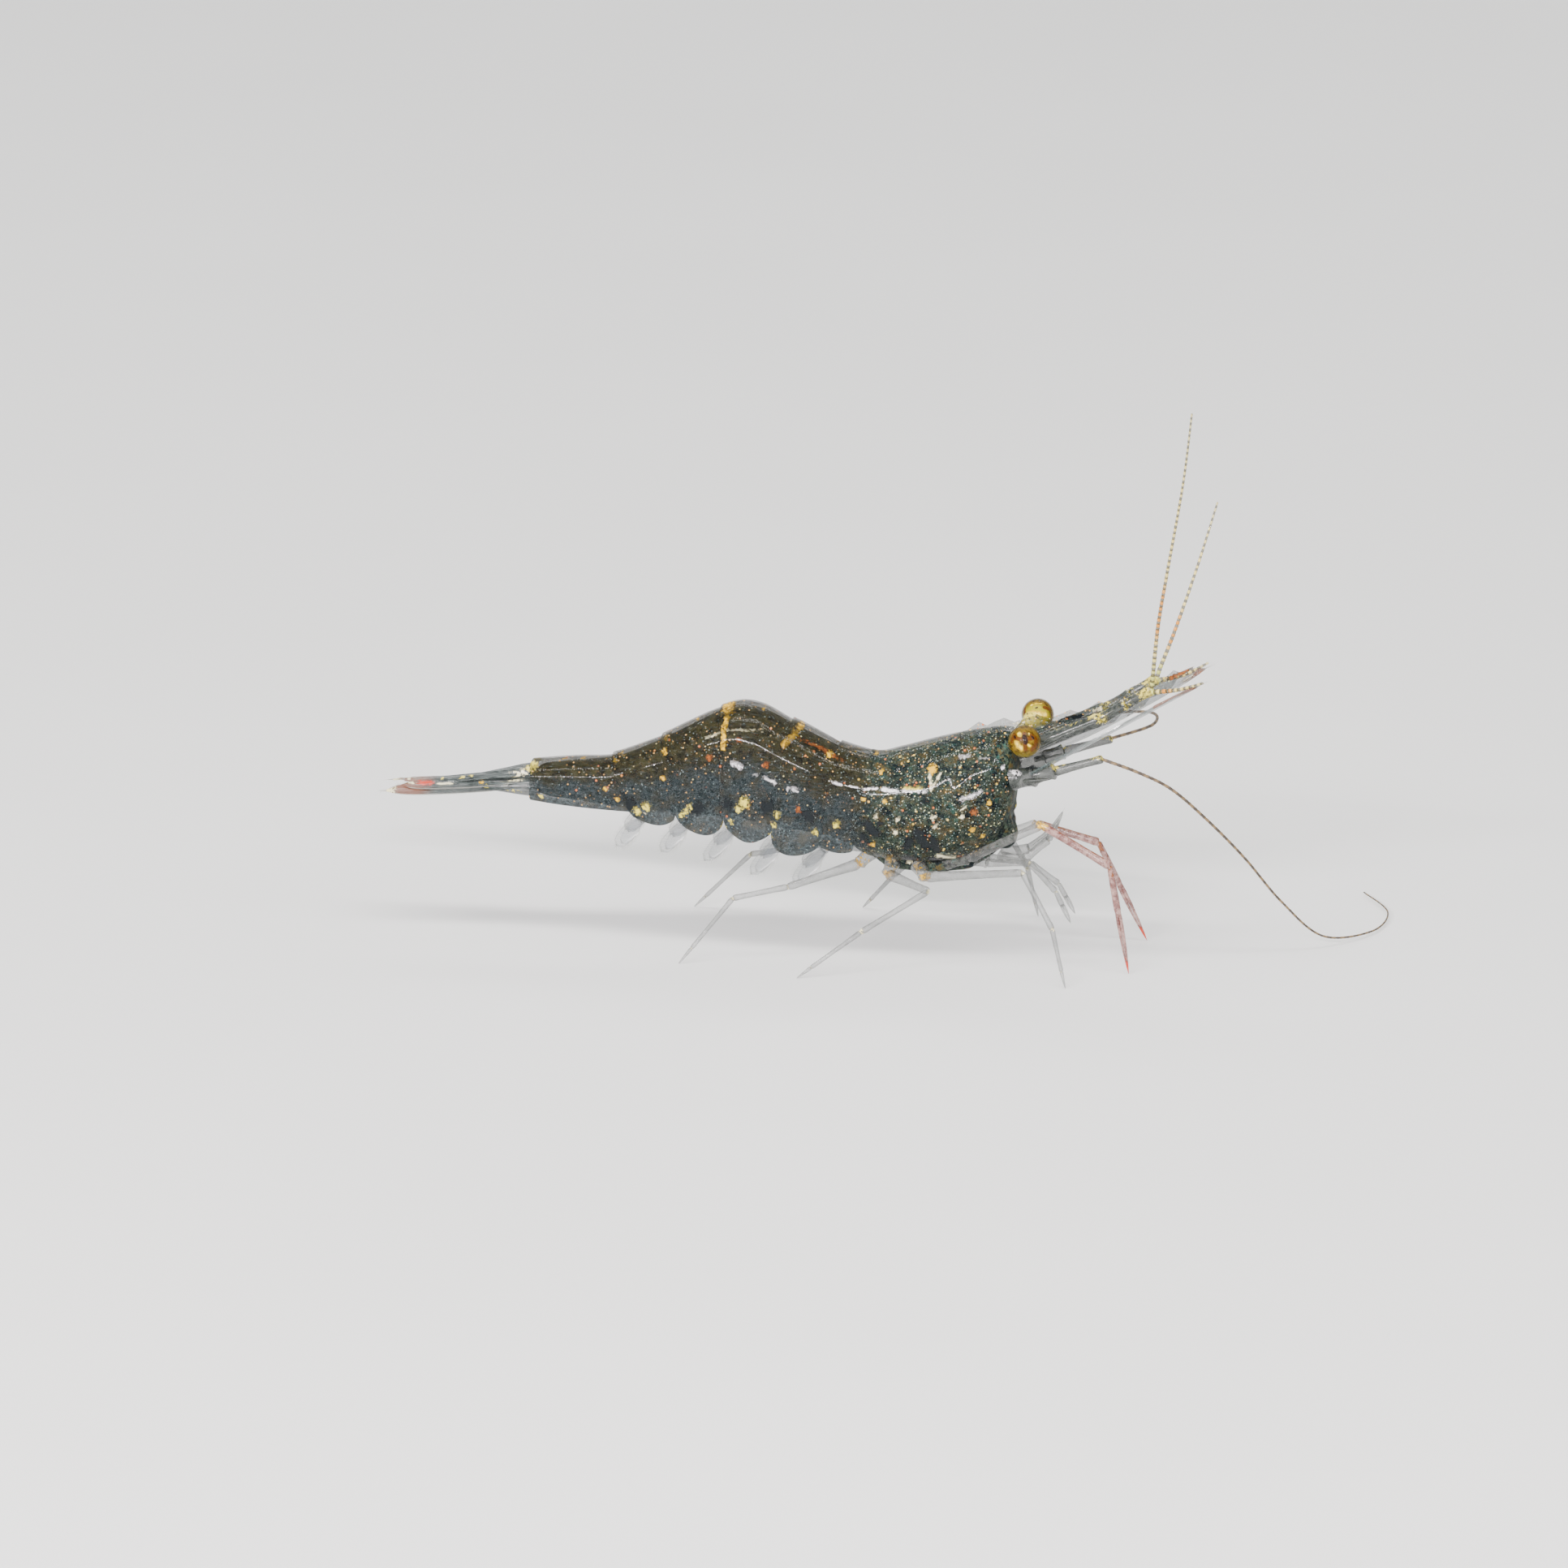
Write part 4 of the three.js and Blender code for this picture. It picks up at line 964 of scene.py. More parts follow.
WALKING_LEGS = {
    "right": {
        3: [(5.1, -1.0, 4.3), (5.5, -1.75, 4.0), (10.2, -3.3, 4.9), (11.7, -4.3, 2.6), (12.2, -4.75, 0.75),
            (12.4, -4.9, 0.02)],
        4: [(3.9, -0.9, 4.4), (3.75, -1.45, 3.95), (5.8, -2.8, 3.65), (2.9, -4.05, 1.95), (0.75, -5.02, 0.45),
            (0.15, -5.3, 0.02)],
        5: [(2.9, -0.75, 4.8), (2.4, -1.3, 4.35), (-0.7, -2.5, 3.45), (-3.15, -3.0, 2.95), (-4.95, -3.77, 0.7),
            (-5.5, -4.0, 0.02)],
    },
    "left": {
        3: [(5.1, 1.0, 4.3), (5.5, 1.75, 4.0), (8.4, 3.6, 4.9), (9.3, 4.8, 2.6), (9.6, 5.4, 0.7), (9.7, 5.6, 0.02)],
        4: [(3.9, 0.9, 4.4), (3.75, 1.45, 3.95), (4.9, 3.1, 3.9), (3.1, 4.5, 2.0), (1.9, 5.42, 0.5),
            (1.5, 5.7, 0.02)],
        5: [(2.9, 0.75, 4.8), (2.4, 1.3, 4.35), (-0.3, 2.7, 3.9), (-3.4, 3.6, 3.0), (-5.65, 4.4, 0.6),
            (-6.2, 4.6, 0.02)],
    },
}
WALKING_RADII = (0.40, 0.27, 0.155, 0.125, 0.085, 0.05)
for side, legs in WALKING_LEGS.items():
    for number, joints in legs.items():
        leg = jointed(joints, WALKING_RADII)
        hip = [("gold", 0.26, joints[0], joints[1]), ("rust", 0.12, (joints[1][0] + 0.2, *joints[1][1:])),
               ("ink", 0.3, (joints[0][0] + 0.35, *joints[0][1:]))]
        paint(leg, hip + dots(joints[2:4], "cream", 0.13) + [("cream", 0.07, joints[4])])
        hand_over(leg, f"leg_{number}_{side}", limb, "limb", f"walking_leg_{number}_{side}")

# %% [markdown]
# ## The big claws
# The second pair of legs is longer and carries the working pincers: a slim palm, a fixed finger and a moving
# one. A pincer cut from a single block would look like a peg, so the palm and both fingers are turned on their
# own and joined, with a slit between the fingers as narrow as a hair.

# %% The big claws
def pincer(wrist, tip, palm, open_by=0.035):
    """A palm with a fixed finger and a moving one: three turned shapes, with a slit between the fingers."""
    length = (Vector(tip) - Vector(wrist)).length
    hand = length * 0.46
    shapes = [turned([(0, palm * 0.6), (0.06, palm * 0.85), (hand * 0.4, palm), (hand * 0.85, palm * 1.05),
                      (hand, palm * 0.8), (hand + 0.03, palm * 0.4)], 14)]
    for way, thick in ((1, 0.58), (-1, 0.50)):
        shapes.append(turned([(hand - 0.08, palm * 0.5, 0, way * palm * 0.42)] + [
            (hand + (length - hand) * share, palm * thick * size, 0,
             way * (palm * 0.42 * (1 - share) + open_by * math.sin(math.pi * share)))
            for share, size in ((0.08, 1.0), (0.35, 0.82), (0.65, 0.6), (0.88, 0.38), (1.0, 0.1))], 10))
    return laid(joined(shapes), wrist, tip)


BIG_CLAWS = {
    "right": [(6.3, -0.85, 4.45), (7.4, -1.2, 4.8), (10.89, -2.2, 6.87), (14.05, -2.3, 5.09), (14.95, -2.3, 0.02)],
    "left": [(6.3, 0.85, 4.45), (7.3, 1.2, 4.75), (10.1, 2.1, 5.6), (12.93, 2.2, 4.8), (15.12, 2.8, 0.02)],
}
BIG_CLAW_RADII = (0.36, 0.25, 0.19, 0.18, 0.15)
for side, joints in BIG_CLAWS.items():
    lengths = [tube(a, b, BIG_CLAW_RADII[i], BIG_CLAW_RADII[i + 1])
               for i, (a, b) in enumerate(zip(joints[:-2], joints[1:-1]))]
    arm = joined([*lengths, pincer(joints[-2], joints[-1], 0.155)])
    elbow, wrist, tip = (np.array(p) for p in joints[2:])
    paint(arm, [
        ("gold", 0.24, tuple(elbow), tuple(elbow + (wrist - elbow) * 0.03)),
        ("rust", 0.09, tuple(elbow + (0.3, 0, 0.12)), tuple(wrist + (0, 0, 0.16))),
        ("cream", 0.08, tuple(elbow + (wrist - elbow) * 0.25), tuple(elbow + (wrist - elbow) * 0.8)),
        ("rust", 0.16, tuple(wrist)), ("cream", 0.12, tuple(wrist + (tip - wrist) * 0.06)),
        ("rust", 0.10, tuple(wrist + (tip - wrist) * 0.47)), ("scarlet", 0.2, tuple(tip + (wrist - tip) * 0.08), tuple(tip)),
    ])
    give(arm, "rosy", np.clip((points_of(arm)[:, 0] - elbow[0] + 0.15) / 0.3, 0, 1))
    hand_over(arm, f"claw_leg_{side}", claw, "claw", f"claw_leg_2_{side}")

# %% [markdown]
# ## The small claws and the mouth legs
# The first pair of legs is short, folded under the head and ends in pincers too. The mouth legs beside them
# look like feelers. They are made by the same functions as the rest, with finer radii.

# %% The small claws and the mouth legs
SMALL_CLAWS = {
    "right": [(7.5, -0.45, 4.45), (8.2, -0.8, 4.5), (10.3, -1.75, 4.9), (11.5, -1.75, 3.6), (12.2, -1.7, 2.1)],
    "left": [(7.5, 0.45, 4.45), (8.1, 0.7, 4.3), (9.9, 1.45, 3.9), (11.2, 1.4, 3.0), (12.0, 1.3, 1.6)],
}
MOUTH_LEG = [(8.7, 0.4, 4.75), (9.9, 0.85, 4.75), (11.0, 0.7, 5.7), (11.5, 0.55, 6.7)]
for side, joints in SMALL_CLAWS.items():
    sign = SIDES[side]
    radii = (0.24, 0.2, 0.15, 0.13)
    lengths = [tube(a, b, radii[i], radii[i + 1]) for i, (a, b) in enumerate(zip(joints[:-2], joints[1:-1]))]
    arm = joined([*lengths, pincer(joints[-2], joints[-1], 0.12, 0.04)])
    paint(arm, dots(joints[2:4]))
    hand_over(arm, f"small_claw_{side}", limb, "limb", f"claw_leg_1_{side}")
    palp_joints = mirrored(MOUTH_LEG, sign)
    palp = jointed(palp_joints, (0.25, 0.22, 0.17, 0.10))
    paint(palp, dots(palp_joints[1:3], "gold", 0.09))
    hand_over(palp, f"mouth_leg_{side}", limb, "limb", f"mouth_leg_{side}")

# %% [markdown]
# ## Feelers
# The two pairs of feelers start from stout bases in three lengths and end in whips of many small rings. One
# ring is turned, repeated by an Array modifier as often as the whip is long, and drawn along its path by a
# Curve modifier, whose points carry the taper. Its place along the whip is stored first, for the coloured bands.

# %% A whip of small rings
def smooth_path(points, count):
    """Evenly spread points on a smooth curve through the given ones."""
    dense = np.array([through(points, at) for at in np.linspace(0, len(points) - 1, 400)])
    lengths = np.concatenate([[0], np.cumsum(np.linalg.norm(np.diff(dense, axis=0), axis=1))])
    wanted = np.linspace(0, lengths[-1], count)
    return np.column_stack([np.interp(wanted, lengths, dense[:, k]) for k in range(3)]), lengths[-1]


def whip(points, thick, thin, pitch, name):
    """A ringed whip through the points, from one radius to another."""
    path, length = smooth_path(points, 90)
    curve = bpy.data.curves.new(name + " path", "CURVE")
    curve.dimensions, curve.use_radius = "3D", True
    spline = curve.splines.new("POLY")
    spline.points.add(len(path) - 1)
    for i, (point, place) in enumerate(zip(spline.points, path)):
        share = i / (len(path) - 1)
        point.co, point.radius = (*place, 1), thick + (thin - thick) * share ** 0.8
    guide = bpy.data.objects.new(name + " guide", curve)
    bpy.context.collection.objects.link(guide)
    ring = turned([(0, 0.80), (pitch * 0.18, 0.96), (pitch * 0.5, 1.0), (pitch * 0.8, 0.95), (pitch, 0.80)], 8)
    for end in (0.0, pitch):
        only(ring)
        bpy.ops.object.mode_set(mode="EDIT")
        bpy.ops.mesh.select_all(action="DESELECT")
        bpy.ops.object.mode_set(mode="OBJECT")
        for face in ring.data.polygons:
            face.select = abs(face.center.x - end) < 1e-5 and abs(face.normal.x) > 0.99
        bpy.ops.object.mode_set(mode="EDIT")
        bpy.ops.mesh.delete(type="ONLY_FACE")
        bpy.ops.object.mode_set(mode="OBJECT")
    modify(ring, "ARRAY", count=round(length / pitch), use_relative_offset=False, use_constant_offset=True,
           constant_offset_displace=(pitch, 0, 0), use_merge_vertices=True, merge_threshold=pitch * 0.02)
    bpy.ops.object.mode_set(mode="EDIT")
    bpy.ops.mesh.select_all(action="DESELECT")
    bpy.ops.mesh.select_mode(type="VERT")
    bpy.ops.mesh.select_non_manifold()
    bpy.ops.mesh.fill_holes(sides=0)
    bpy.ops.object.mode_set(mode="OBJECT")
    give(ring, "along", points_of(ring)[:, 0])
    give(ring, "share", points_of(ring)[:, 0] / length)
    modify(ring, "CURVE", object=guide, deform_axis="POS_X")
    bpy.data.objects.remove(guide)
    print(f"{name}: {round(length, 1)} mm long, {round(length / pitch)} rings")
    return ring


# %% [markdown]
# The upright whips look like strings of cream and yellow beads with dark links between them, and pass through
# an orange stretch a quarter of the way up. The long whips of the second feelers are dark brown. Both patterns
# follow the stored length, so they stay on the rings however the whip bends.

# %% Whip finishes
beads = Finish("beaded whip", {"IOR": 1.45, "Coat Weight": 0.3})
along, share = beads.painted("along"), beads.painted("share")
pulse = beads.node("ShaderNodeMath", {"operation": "SINE"}, {0: along * (2 * math.pi / 0.30)})
uneven = beads.node("ShaderNodeTexNoise", {"noise_dimensions": "1D"}, {"W": along, "Scale": 2.6, "Detail": 1.0})
bead = (pulse * 0.5 + uneven).step(0.25, 0.75)
orange = beads.painted("share").step(0.15, 0.22) * beads.painted("share").step(0.42, 0.33)
warm = beads.mix(orange, (0.64, 0.52, 0.17), (0.55, 0.21, 0.015))
warm = beads.mix(share.step(0.14, 0.05) * 0.7, warm, (0.40, 0.46, 0.10))
warm = beads.mix(share.step(0.6, 1.0) * 0.5, warm, (0.36, 0.37, 0.27))
beads.link("Base Color", beads.mix(bead, (0.10, 0.085, 0.035), warm))
beads.link("Alpha", bead * 0.35 + 0.62)
beads.link("Roughness", bead * 0.1 + 0.3)

brown = Finish("dark whip", {"IOR": 1.45, "Coat Weight": 0.2})
along = brown.painted("along")
pulse = brown.node("ShaderNodeMath", {"operation": "SINE"}, {0: along * (2 * math.pi / 0.52)})
uneven = brown.node("ShaderNodeTexNoise", {"noise_dimensions": "1D"}, {"W": along, "Scale": 1.3, "Detail": 2.0})
band = (pulse * 0.4 + uneven).step(0.3, 0.8)
brown.link("Base Color", brown.mix(band, (0.05, 0.032, 0.018), (0.17, 0.11, 0.05)))
brown.link("Roughness", band * 0.15 + 0.35)
brown.link("Alpha", band * 0.1 + 0.85)
beads.tell()
brown.tell()

# %% [markdown]
# ## The first feelers
# Each first feeler has a base of three lengths with gold at its joints, and two whips: one held upright, one
# pointing ahead. The bases are turned like the legs, and the whips bend from the last joint.

# %% First feelers
FIRST_BASE = [(9.9, 0.8, 10.0), (13.4, 0.82, 11.6), (14.55, 0.85, 12.35), (15.7, 0.88, 13.1)]
UPRIGHT = {
    "right": [(15.7, -0.88, 13.05), (15.76, -0.98, 13.6), (16.05, -1.5, 16.25), (16.55, -2.2, 19.1),
              (17.35, -3.3, 23.45), (17.85, -4.2, 27.1)],
    "left": [(15.7, 0.88, 13.05), (15.85, 0.98, 13.6), (16.45, 1.4, 15.25), (17.3, 2.4, 17.95),
             (18.1, 3.5, 20.85)],
}
FORWARD = {"right": [(15.7, -0.95, 13.0), (17.0, -1.35, 13.3), (18.2, -1.75, 13.8)],
           "left": [(15.7, 0.95, 13.0), (16.9, 1.4, 13.2), (17.9, 1.9, 13.65)]}
for side, sign in SIDES.items():
    a, b, c, d = mirrored(FIRST_BASE, sign)
    base = joined([tube(a, b, 0.40, 0.30, 16), tube(b, c, 0.29, 0.26, 16), tube(c, d, 0.26, 0.25, 16),
                   claw_tip((10.3, sign * 1.15, 10.1), (12.4, sign * 1.28, 11.2), 0.16)])
    paint(base, [("straw", 0.36, (b[0] + 0.05, b[1], b[2] + 0.05)), ("straw", 0.15, (13.05, b[1] * 1.2, 11.75)),
                 ("straw", 0.27, c), ("cream", 0.12, (14.35, c[1], 12.55)), ("cream", 0.12, (14.75, c[1], 12.75)),
                 ("straw", 0.42, (d[0] - 0.15, d[1], d[2] - 0.05), (d[0] + 0.1, d[1], d[2])),
                 ("cream", 0.12, (d[0], d[1] * 1.2, d[2] + 0.12)),
                 ("straw", 0.11, (11.1, b[1] * 1.15, 11.05), (12.15, b[1] * 1.1, 11.45)),
                 ("ink", 0.14, (12.4, a[1], 11.6), (13.0, a[1], 11.8)), ("ink", 0.13, (14.0, c[1], 12.1)),
                 ("rust", 0.1, (12.7, a[1] * 1.3, 11.2))])
    hand_over(base, f"feeler_base_{side}", feeler_base, "limb", f"antennule_base_{side}")
    upright = whip(UPRIGHT[side], 0.115, 0.050, 0.15, "upright whip")
    hand_over(upright, f"upright_whip_{side}", beads, "feeler", f"antennule_upright_whip_{side}")
    forward = whip(FORWARD[side], 0.14, 0.06, 0.15, "forward whip")
    hand_over(forward, f"forward_whip_{side}", beads, "feeler", f"antennule_forward_whip_{side}")

# %% [markdown]
# ## The second feelers
# The second feelers are the longest things on the animal. From a stout base below the eye, each throws one dark
# whip: the right one arches ahead and down to the ground, and the left one sweeps back beside the body.

# %% Second feelers
SECOND_BASE = [(9.4, 1.1, 8.65), (10.5, 1.42, 8.95), (11.4, 1.6, 9.25), (13.6, 1.6, 9.95)]
LONG_WHIP = {
    "right": [(13.5, -1.6, 9.95), (15.19, -1.4, 9.32), (16.69, -1.0, 8.46), (18.29, -0.3, 6.82), (19.87, 0.6, 4.85),
              (21.41, 1.6, 2.59), (23.2, 2.9, 0.6), (25.2, 5.2, 0.2), (25.6, 8.2, 0.2), (24.2, 11.0, 0.2)],
    "left": [(13.5, 1.6, 9.95), (15.3, 3.0, 10.3), (14.6, 5.6, 10.1), (10.5, 8.0, 8.8), (5.0, 9.3, 6.6),
             (-1.0, 9.6, 6.4), (-7.0, 9.6, 5.4), (-11.0, 9.2, 4.4)],
}
for side, sign in SIDES.items():
    a, b, c, d = mirrored(SECOND_BASE, sign)
    base = joined([tube(a, b, 0.52, 0.44, 18), tube(b, c, 0.38, 0.32, 16), tube(c, d, 0.24, 0.17, 14),
                   claw_tip((10.0, sign * 1.75, 8.75), (11.3, sign * 2.0, 9.0), 0.13)])
    paint(base, [("straw", 0.22, (c[0], c[1], c[2] + 0.25)), ("cream", 0.15, (12.0, c[1], 9.5)),
                 ("straw", 0.16, (d[0] - 0.3, d[1], d[2]), (d[0] + 0.1, d[1], d[2] + 0.05)),
                 # painted highlights: near-white patches on the front of the base, under the eye
                 ("painted_highlight", 0.13, (a[0] + 0.05, a[1] * 1.3, a[2] + 0.5), (a[0] + 0.5, a[1] * 1.38, a[2] + 0.12)),
                 ("painted_highlight", 0.08, (a[0] + 0.62, a[1] * 1.3, a[2] + 0.42)), ("cream", 0.07, (a[0] + 0.3, a[1] * 1.4, a[2] - 0.12)),
                 ("ink", 0.2, (10.2, b[1], 9.3), (10.9, b[1], 9.5))])
    hand_over(base, f"antenna_base_{side}", feeler_base, "limb", f"antenna_base_{side}")
    long_whip = whip(LONG_WHIP[side], 0.085, 0.035, 0.2, "long whip")
    hand_over(long_whip, f"long_whip_{side}", brown, "dark_feeler",
              *(f"antenna_whip_{length}_{side}" for length in ("base", "middle", "tip")))

# %% [markdown]
# ## The eyestalks
# An eye sits in a cup on a short neck that turns on the brow. Two turned shapes do for it: a neck, and a bell
# that opens to the width of the eye and is yellow with pigment.

# %% Eyestalks
STALK = [(9.2, 0.35, 10.0), (9.72, 1.2, 10.45), (10.0, 1.86, 10.68)]
for side, sign in SIDES.items():
    root, bend, cup = mirrored(STALK, sign)
    neck = turned([(0, 0.26), (0.15, 0.33), (0.6, 0.34), (0.95, 0.36), (1.02, 0.3)], 20)
    bell_end = turned([(-0.06, 0.3), (0.0, 0.36), (0.25, 0.40), (0.5, 0.46), (0.66, 0.50), (0.72, 0.44)], 24)
    stalk = joined([laid(neck, root, bend), laid(bell_end, bend, cup)])
    paint(stalk, [("straw", 0.8, (bend[0] + 0.15, bend[1] * 1.2, bend[2] + 0.1), (cup[0], cup[1] * 0.95, cup[2] - 0.1)),
                  ("cream", 0.2, (cup[0], cup[1], cup[2] - 0.6))])
    hand_over(stalk, f"eyestalk_{side}", feeler_base, "flesh", f"eyestalk_{side}")

# %% [markdown]
# ## Blades: antennal scales, tail fan and swimmerets
# All the swimming parts are thin leaves, stiffened along the middle and fringed with hairs. One leaf-making
# function wraps a grid to an outline and a dish, and thickens it. The fringe is real mesh: every hair is a
# three-sided spike, modelled once and copied along the margin.

# %% Leaves
def blade_frame(root, tip, roll):
    """The blade's own directions: along it, across it and up from it."""
    along = (Vector(tip) - Vector(root)).normalized()
    across = Vector((0, 0, 1)).cross(along).normalized()
    up = along.cross(across)
    turn = Matrix.Rotation(math.radians(roll), 3, along)
    return np.array(along), np.array(turn @ across), np.array(turn @ up)


def leaf_half(share, widest, point):
    """Half the width of a leaf along its length, as a share of its widest half."""
    if share < widest:
        return 0.34 + 0.66 * math.sin(math.pi / 2 * share / widest) ** 0.9
    fall = (share - widest) / (1 - widest)
    return point + (1 - point) * math.sqrt(max(0.0, 1 - fall ** 2.6))


def leaf(root, tip, half, roll, widest, point, dish, wall, ribs=0.0, steps=(70, 26)):
    """A thin leaf from root to tip. Its margin tapers, its midrib is raised and its blade is dished."""
    along, across, up = blade_frame(root, tip, roll)
    length = (Vector(tip) - Vector(root)).length
    start = np.array(root)

    def shape(u, v):
        end = min(1.0, (1 - u) / 0.05)
        width = half * leaf_half(u, widest, point) * (0.25 + 0.75 * math.sqrt(max(0.0, 1 - (1 - end) ** 2)))
        reach = length * (u - 0.05 * (abs(v) ** 2.4) * u)
        height = dish * (v * v) * half + ribs * bell(v, 0, 0.12) * (1 - u)
        return start + along * reach + across * (v * width) + up * height

    return thicken(wrapped_grid(*steps, shape, "leaf"), wall, 0.0), shape


def fringe(shape, starts, hair, name, spread=0.5):
    """Hairs along a leaf's margin, from (u, v, lean) rows. They copy one three-sided spike."""
    only()
    bpy.ops.mesh.primitive_cone_add(vertices=3, radius1=1.0, radius2=0.0, depth=1.0, location=(0, 0, 0.5))
    spike = settle(bpy.context.object)
    corners = points_of(spike)
    faces = [list(face.vertices) for face in spike.data.polygons]
    bpy.data.objects.remove(spike)
    vertices, polygons, length_values = [], [], []
    for u, v, outward, size in starts:
        root, inner = np.array(shape(u, v)), np.array(shape(max(u - 0.02, 0), v * 0.97))
        side = root - np.array(shape(u, v * 0.9))
        lead = np.array(shape(min(u + 0.02, 1.0), v * 0.9)) - np.array(shape(max(u - 0.02, 0.0), v * 0.9))
        lead /= np.linalg.norm(lead) + 1e-9
        side /= np.linalg.norm(side) + 1e-9
        way = Vector(side * outward + lead * (1 - outward * spread)).normalized()
        turn = np.array(way.to_track_quat("Z", "X").to_matrix())
        shape_of_hair = corners * np.array([hair, hair, size])
        first = len(vertices)
        vertices.extend((shape_of_hair @ turn.T + root - np.array(way) * 0.04).tolist())
        polygons.extend([[first + k for k in face] for face in faces])
        length_values.extend((corners[:, 2]).tolist())
    mesh = bpy.data.meshes.new(name)
    mesh.from_pydata(vertices, [], polygons)
    piece = bpy.data.objects.new(name, mesh)
    bpy.context.collection.objects.link(piece)
    give(piece, "share", length_values)
    uv = mesh.uv_layers.new(name="OFBake")
    spots = np.array([[(loop.vertex_index % len(corners)) / len(corners), length_values[loop.vertex_index]]
                      for loop in mesh.loops])
    uv.data.foreach_set("uv", spots.ravel())
    return piece


# %% [markdown]
# The blades are nearly clear, with fine ribs and a grey-green cast. The tail fan ends in a red spot, a brown
# band and a white tip, and the antennal scales in dark red. Hairs are pale, and clear towards their points.

# %% Blade and hair finishes
def clear_blade(name, dark, light, film):
    finish = Finish(name, {"IOR": 1.42, "Coat Weight": 0.6, "Coat Roughness": 0.08})
    ribs = finish.cloud(6.0, 3.0, 0.6, finish.stretched((0.25, 2.5, 2.5)))
    edge_on = finish.node("ShaderNodeLayerWeight", {}, {"Blend": 0.4}, output="Facing")
    colour = finish.mix(ribs.step(0.4, 0.66), dark, light)
    colour = finish.mix(finish.painted("blush"), colour, (0.19, 0.075, 0.045))
    colour, alpha = add_marks(finish, colour, edge_on * 0.4 + film + (ribs - 0.5) * 0.3 + finish.painted("blush") * 0.35)
    finish.link("Base Color", colour)
    finish.link("Alpha", alpha)
    finish.link("Roughness", ribs * 0.2 + 0.14)
    finish.bump(ribs, 0.02)
    return finish


fan = clear_blade("tail blade", (0.020, 0.027, 0.026), (0.11, 0.13, 0.125), 0.62)
scale_film = clear_blade("scale blade", (0.035, 0.060, 0.062), (0.15, 0.20, 0.20), 0.20)
paddle = clear_blade("swimmeret blade", (0.05, 0.065, 0.075), (0.20, 0.23, 0.26), 0.10)
hairs = Finish("fringe hair", {"Base Color": (0.42, 0.42, 0.38, 1), "Roughness": 0.4})
hairs.link("Alpha", hairs.painted("share").step(1.1, 0.1) * 0.3 + 0.12)
for finish in (fan, scale_film, paddle, hairs):
    finish.tell()


def margin(count, sides, start, stop, hair, lean=0.8):
    """Rows of hair roots along a leaf's edges and round its tip."""
    rows = []
    for i in range(count):
        share = i / (count - 1)
        u = start + (stop - start) * share
        size = hair * (0.55 + 0.45 * math.sin(math.pi * (0.2 + 0.6 * share))) * (0.9 + 0.2 * ((i * 7) % 5) / 5)
        rows += [(u, side * 0.995, lean, size) for side in sides]
    return rows


def tip_hairs(count, hair):
    return [(0.998, -1 + 2 * i / (count - 1), 0.25 * abs(-1 + 2 * i / (count - 1)), hair * (0.9 + 0.1 * ((i * 5) % 3)))
            for i in range(count)]


# %% [markdown]
# ## Bristles on the mouth legs
# The mouth legs are brushes: stiff hairs stand out from both of their sides and sweep food to the jaws. The
# fringe of a leaf does for them too, with the leg's own line in place of the leaf's margin.

# %% Bristles on the mouth legs
def beside_leg(joints, radius):
    """A place beside a limb: u runs 0 to 1 over its joints, and v is -1 or 1 for its two sides."""
    def shape(u, v):
        spots = np.linspace(0, 1, len(joints))
        middle = np.array([np.interp(u, spots, [joint[k] for joint in joints]) for k in range(3)])
        return middle + np.array([0, v * radius * (1 - 0.5 * u), 0])
    return shape


for side, sign in SIDES.items():
    rows = margin(34, (-1, 1), 0.36, 0.99, 0.55, 0.85)
    bristles = fringe(beside_leg(mirrored(MOUTH_LEG, sign), 0.22), rows, 0.013, "bristles")
    hand_over(bristles, f"mouth_leg_bristles_{side}", hairs, "limb")

# %% [markdown]
# ## The antennal scales
# Beside each second feeler lies a long leaf, the animal's rudder for swimming backwards. Its outer edge is
# stiff and ends in a spine, and its inner edge and tip carry a fringe of hairs.

# %% Antennal scales
SCALE = {"root": (10.4, 1.6, 9.05), "tip": (17.85, 1.5, 13.5), "half": 0.90, "roll": 12}
for side, sign in SIDES.items():
    root, tip = mirrored([SCALE["root"], SCALE["tip"]], sign)
    scale, shape = leaf(root, tip, SCALE["half"], SCALE["roll"] * sign, 0.42, 0.30, 0.12, 0.07, 0.06)
    give(scale, "blush", np.clip((points_of(scale)[:, 0] - 16.6) / 0.9, 0, 1) * 0.9)
    paint(scale, [("rust", 0.10, shape(0.9, -0.7 * sign), shape(0.985, -0.4 * sign)),
                  ("cream", 0.08, shape(0.86, -0.2 * sign), shape(0.93, -0.1 * sign)),
                  ("ink", 0.045, shape(0.55, -0.98), shape(0.85, -0.96)), ("ink", 0.045, shape(0.5, 0.98), shape(0.8, 0.97)),
                  ("gold", 0.07, shape(0.93, 0.6 * sign))])
    spine = claw_tip(shape(0.80, sign * 0.97), tuple(np.array(shape(0.93, sign * 1.0)) + blade_frame(root, tip, 0)[0] * 0.45), 0.07)
    give(spine, "blush", np.ones(len(points_of(spine))))
    paint(spine, [])
    scale = joined([scale, spine])
    hand_over(scale, f"antenna_scale_{side}", scale_film, "fan", f"antenna_scale_{side}")
    rows = margin(60, (-sign,), 0.25, 0.97, 0.75, 0.55) + tip_hairs(15, 0.7)
    hand_over(fringe(shape, rows, 0.016, "fringe"), f"scale_fringe_{side}", hairs, "fan")

# %% [markdown]
# ## The tail fan
# The fan has a stiff middle piece, the telson, and two leaves on each side on a short stem. Walking, the animal
# keeps it nearly closed, arched like a roof. The telson grows thicker towards its root, where it leaves the last
# ring, and carries two pairs of small spines on its back and spines at its tip.

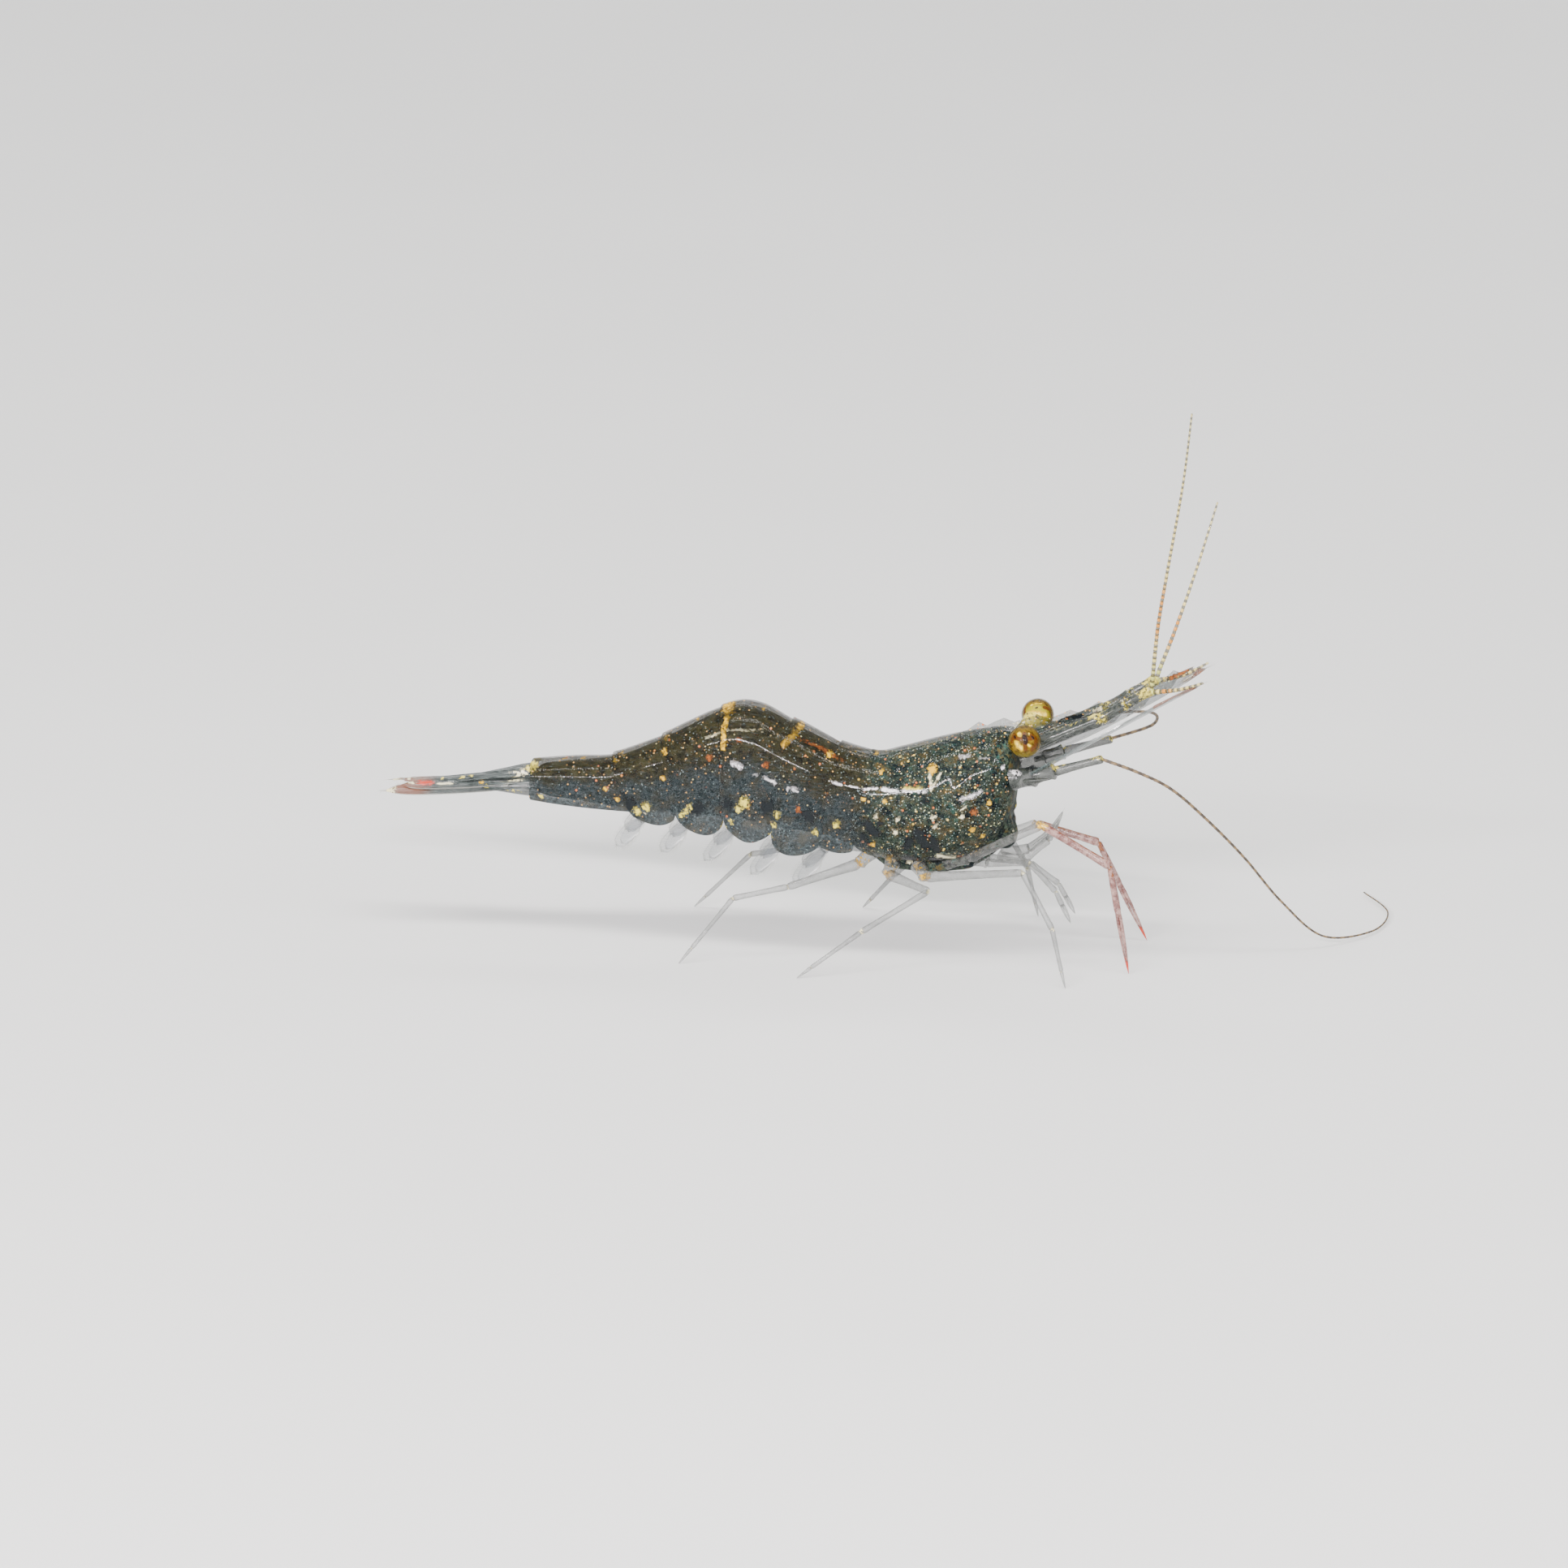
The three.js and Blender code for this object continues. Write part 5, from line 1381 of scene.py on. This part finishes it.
# %% The tail fan
TAIL_MARKS = [
    ("cream", 0.28, (-19.7, -0.88, 6.63), (-19.4, -0.84, 6.66)), ("cream", 0.10, (-18.75, -0.35, 6.90), (-18.4, -0.4, 6.92)),
    ("scarlet", 0.22, (-18.0, -0.38, 6.96), (-17.65, -0.4, 6.97)), ("cream", 0.10, (-17.2, -0.5, 6.99), (-16.6, -0.5, 7.0)),
    ("straw", 0.12, (-17.1, -0.2, 7.2)), ("straw", 0.12, (-16.15, -0.25, 7.25)), ("straw", 0.12, (-15.75, -0.2, 7.38)),
    ("gold", 0.12, (-15.2, -0.5, 7.15)), ("straw", 0.12, (-14.95, -0.7, 6.98)),
    ("cream", 0.13, (-14.05, -0.6, 7.1), (-13.3, -0.45, 7.7)), ("straw", 0.27, (-12.95, -0.4, 7.9)),
    ("straw", 0.10, (-13.6, -0.8, 6.9)), ("ink", 0.12, (-13.2, -0.6, 7.2)),
]
TELSON = ((-12.75, 0, 7.74), (-18.6, 0, 6.90))
BLADES = {"inner": ((-12.8, 0.3, 7.28), (-19.0, 0.52, 6.80), 0.46, 12, 0.6, 0.30),
          "outer": ((-12.8, 0.5, 7.12), (-19.6, 0.88, 6.64), 0.50, 16, 0.62, 0.34)}


def blush_tail(piece):
    x = points_of(piece)[:, 0]
    give(piece, "blush", np.clip((-17.3 - x) / 0.8, 0, 1) * 0.85)
    paint(piece, TAIL_MARKS, both_sides=True)


plate, telson_shape = leaf(*TELSON, 0.42, 0, 0.12, 0.22, -0.42, 0.14, 0.0)
root_dome = laid(turned([(-0.1, 0.30), (0.05, 0.46), (0.5, 0.44), (1.2, 0.34), (2.2, 0.22), (3.4, 0.10), (4.2, 0.03)], 20),
                 (-12.85, 0, 7.58), (-18.4, 0, 6.86))
spikes = [claw_tip(telson_shape(0.62 + 0.18 * k, v), tuple(np.array(telson_shape(0.62 + 0.18 * k, v)) + (-0.32, 0.05 * v, 0.03)), 0.04)
          for k in (0, 1) for v in (-0.55, 0.55)]
spikes += [claw_tip(telson_shape(0.96, v), tuple(np.array(telson_shape(0.96, v)) + (-size, 0.18 * v, 0)), 0.045)
           for v, size in ((-0.9, 0.3), (-0.5, 0.62), (0.5, 0.62), (0.9, 0.3))]
telson = joined([plate, root_dome, *spikes])
blush_tail(telson)
hand_over(telson, "telson", fan, "fan", "telson")
hand_over(fringe(telson_shape, tip_hairs(9, 0.55), 0.014, "fringe"), "telson_fringe", hairs, "fan")
for side, sign in SIDES.items():
    stem = laid(turned([(-0.1, 0.36), (0.0, 0.44), (0.5, 0.41), (1.1, 0.33), (1.8, 0.22), (2.6, 0.08)], 20),
                (-12.6, sign * 0.42, 7.02), (-15.2, sign * 0.62, 6.98))
    for which, (root, tip, half, roll, widest, point) in BLADES.items():
        root, tip = mirrored([root, tip], sign)
        blade, shape = leaf(root, tip, half, roll * sign, widest, point, 0.10, 0.07, 0.08)
        if which == "outer":
            blade = joined([blade, stem])
        blush_tail(blade)
        hand_over(blade, f"tail_{which}_{side}", fan, "fan", f"tail_{which}_blade_{side}")
        rows = margin(56, (-1, 1), 0.3, 0.97, 0.5, 0.5) + tip_hairs(17, 0.5)
        hand_over(fringe(shape, rows, 0.014, "fringe"), f"tail_{which}_fringe_{side}", hairs, "fan")

# %% [markdown]
# ## Swimmerets
# Under each of the first five rings hangs a pair of swimmerets: a stem and two narrow fringed leaves. A shrimp
# that is walking lets them trail backwards.

# %% Swimmerets
SWIMMERET_RINGS = [(5.5, 3.4), (6.5, 3.5), (8.0, 3.4), (9.5, 3.0), (10.5, 2.6)]
for side, sign in SIDES.items():
    paddles, coats, nodes = [], [], []
    for number, (place, length) in enumerate(SWIMMERET_RINGS, start=1):
        middle, up, _ = section(place)
        root = middle - 0.6 * up
        root[1] = 0.62 * sign
        back, out = math.radians(38), math.radians(10)
        reach = np.array([-math.sin(back), math.sin(out) * sign, -math.cos(back)]) * length
        knee, end = root + reach * 0.42, root + reach * 0.97
        paddles.append(tube(tuple(root), tuple(knee), 0.26, 0.20, 12))
        for way, half in ((1, 0.36), (-0.6, 0.28)):
            tip = end + np.array([-0.12 * way, 0.22 * way * sign, 0.05])
            lobe, shape = leaf(tuple(knee - reach * 0.02), tuple(tip), half, 70 * sign, 0.5, 0.3, 0.15, 0.06, 0.0, (30, 12))
            paddles.append(lobe)
            coats.append(fringe(shape, margin(20, (-1, 1), 0.25, 0.97, 0.34, 0.6) + tip_hairs(7, 0.34), 0.012, "fringe"))
        nodes.append(f"swimmeret_{number}_{side}")
    row = joined(paddles)
    give(row, "blush", np.zeros(len(points_of(row))))
    paint(row, [])
    hand_over(row, f"swimmerets_{side}", paddle, "fan", *nodes)
    hand_over(joined(coats), f"swimmeret_fringe_{side}", hairs, "fan")
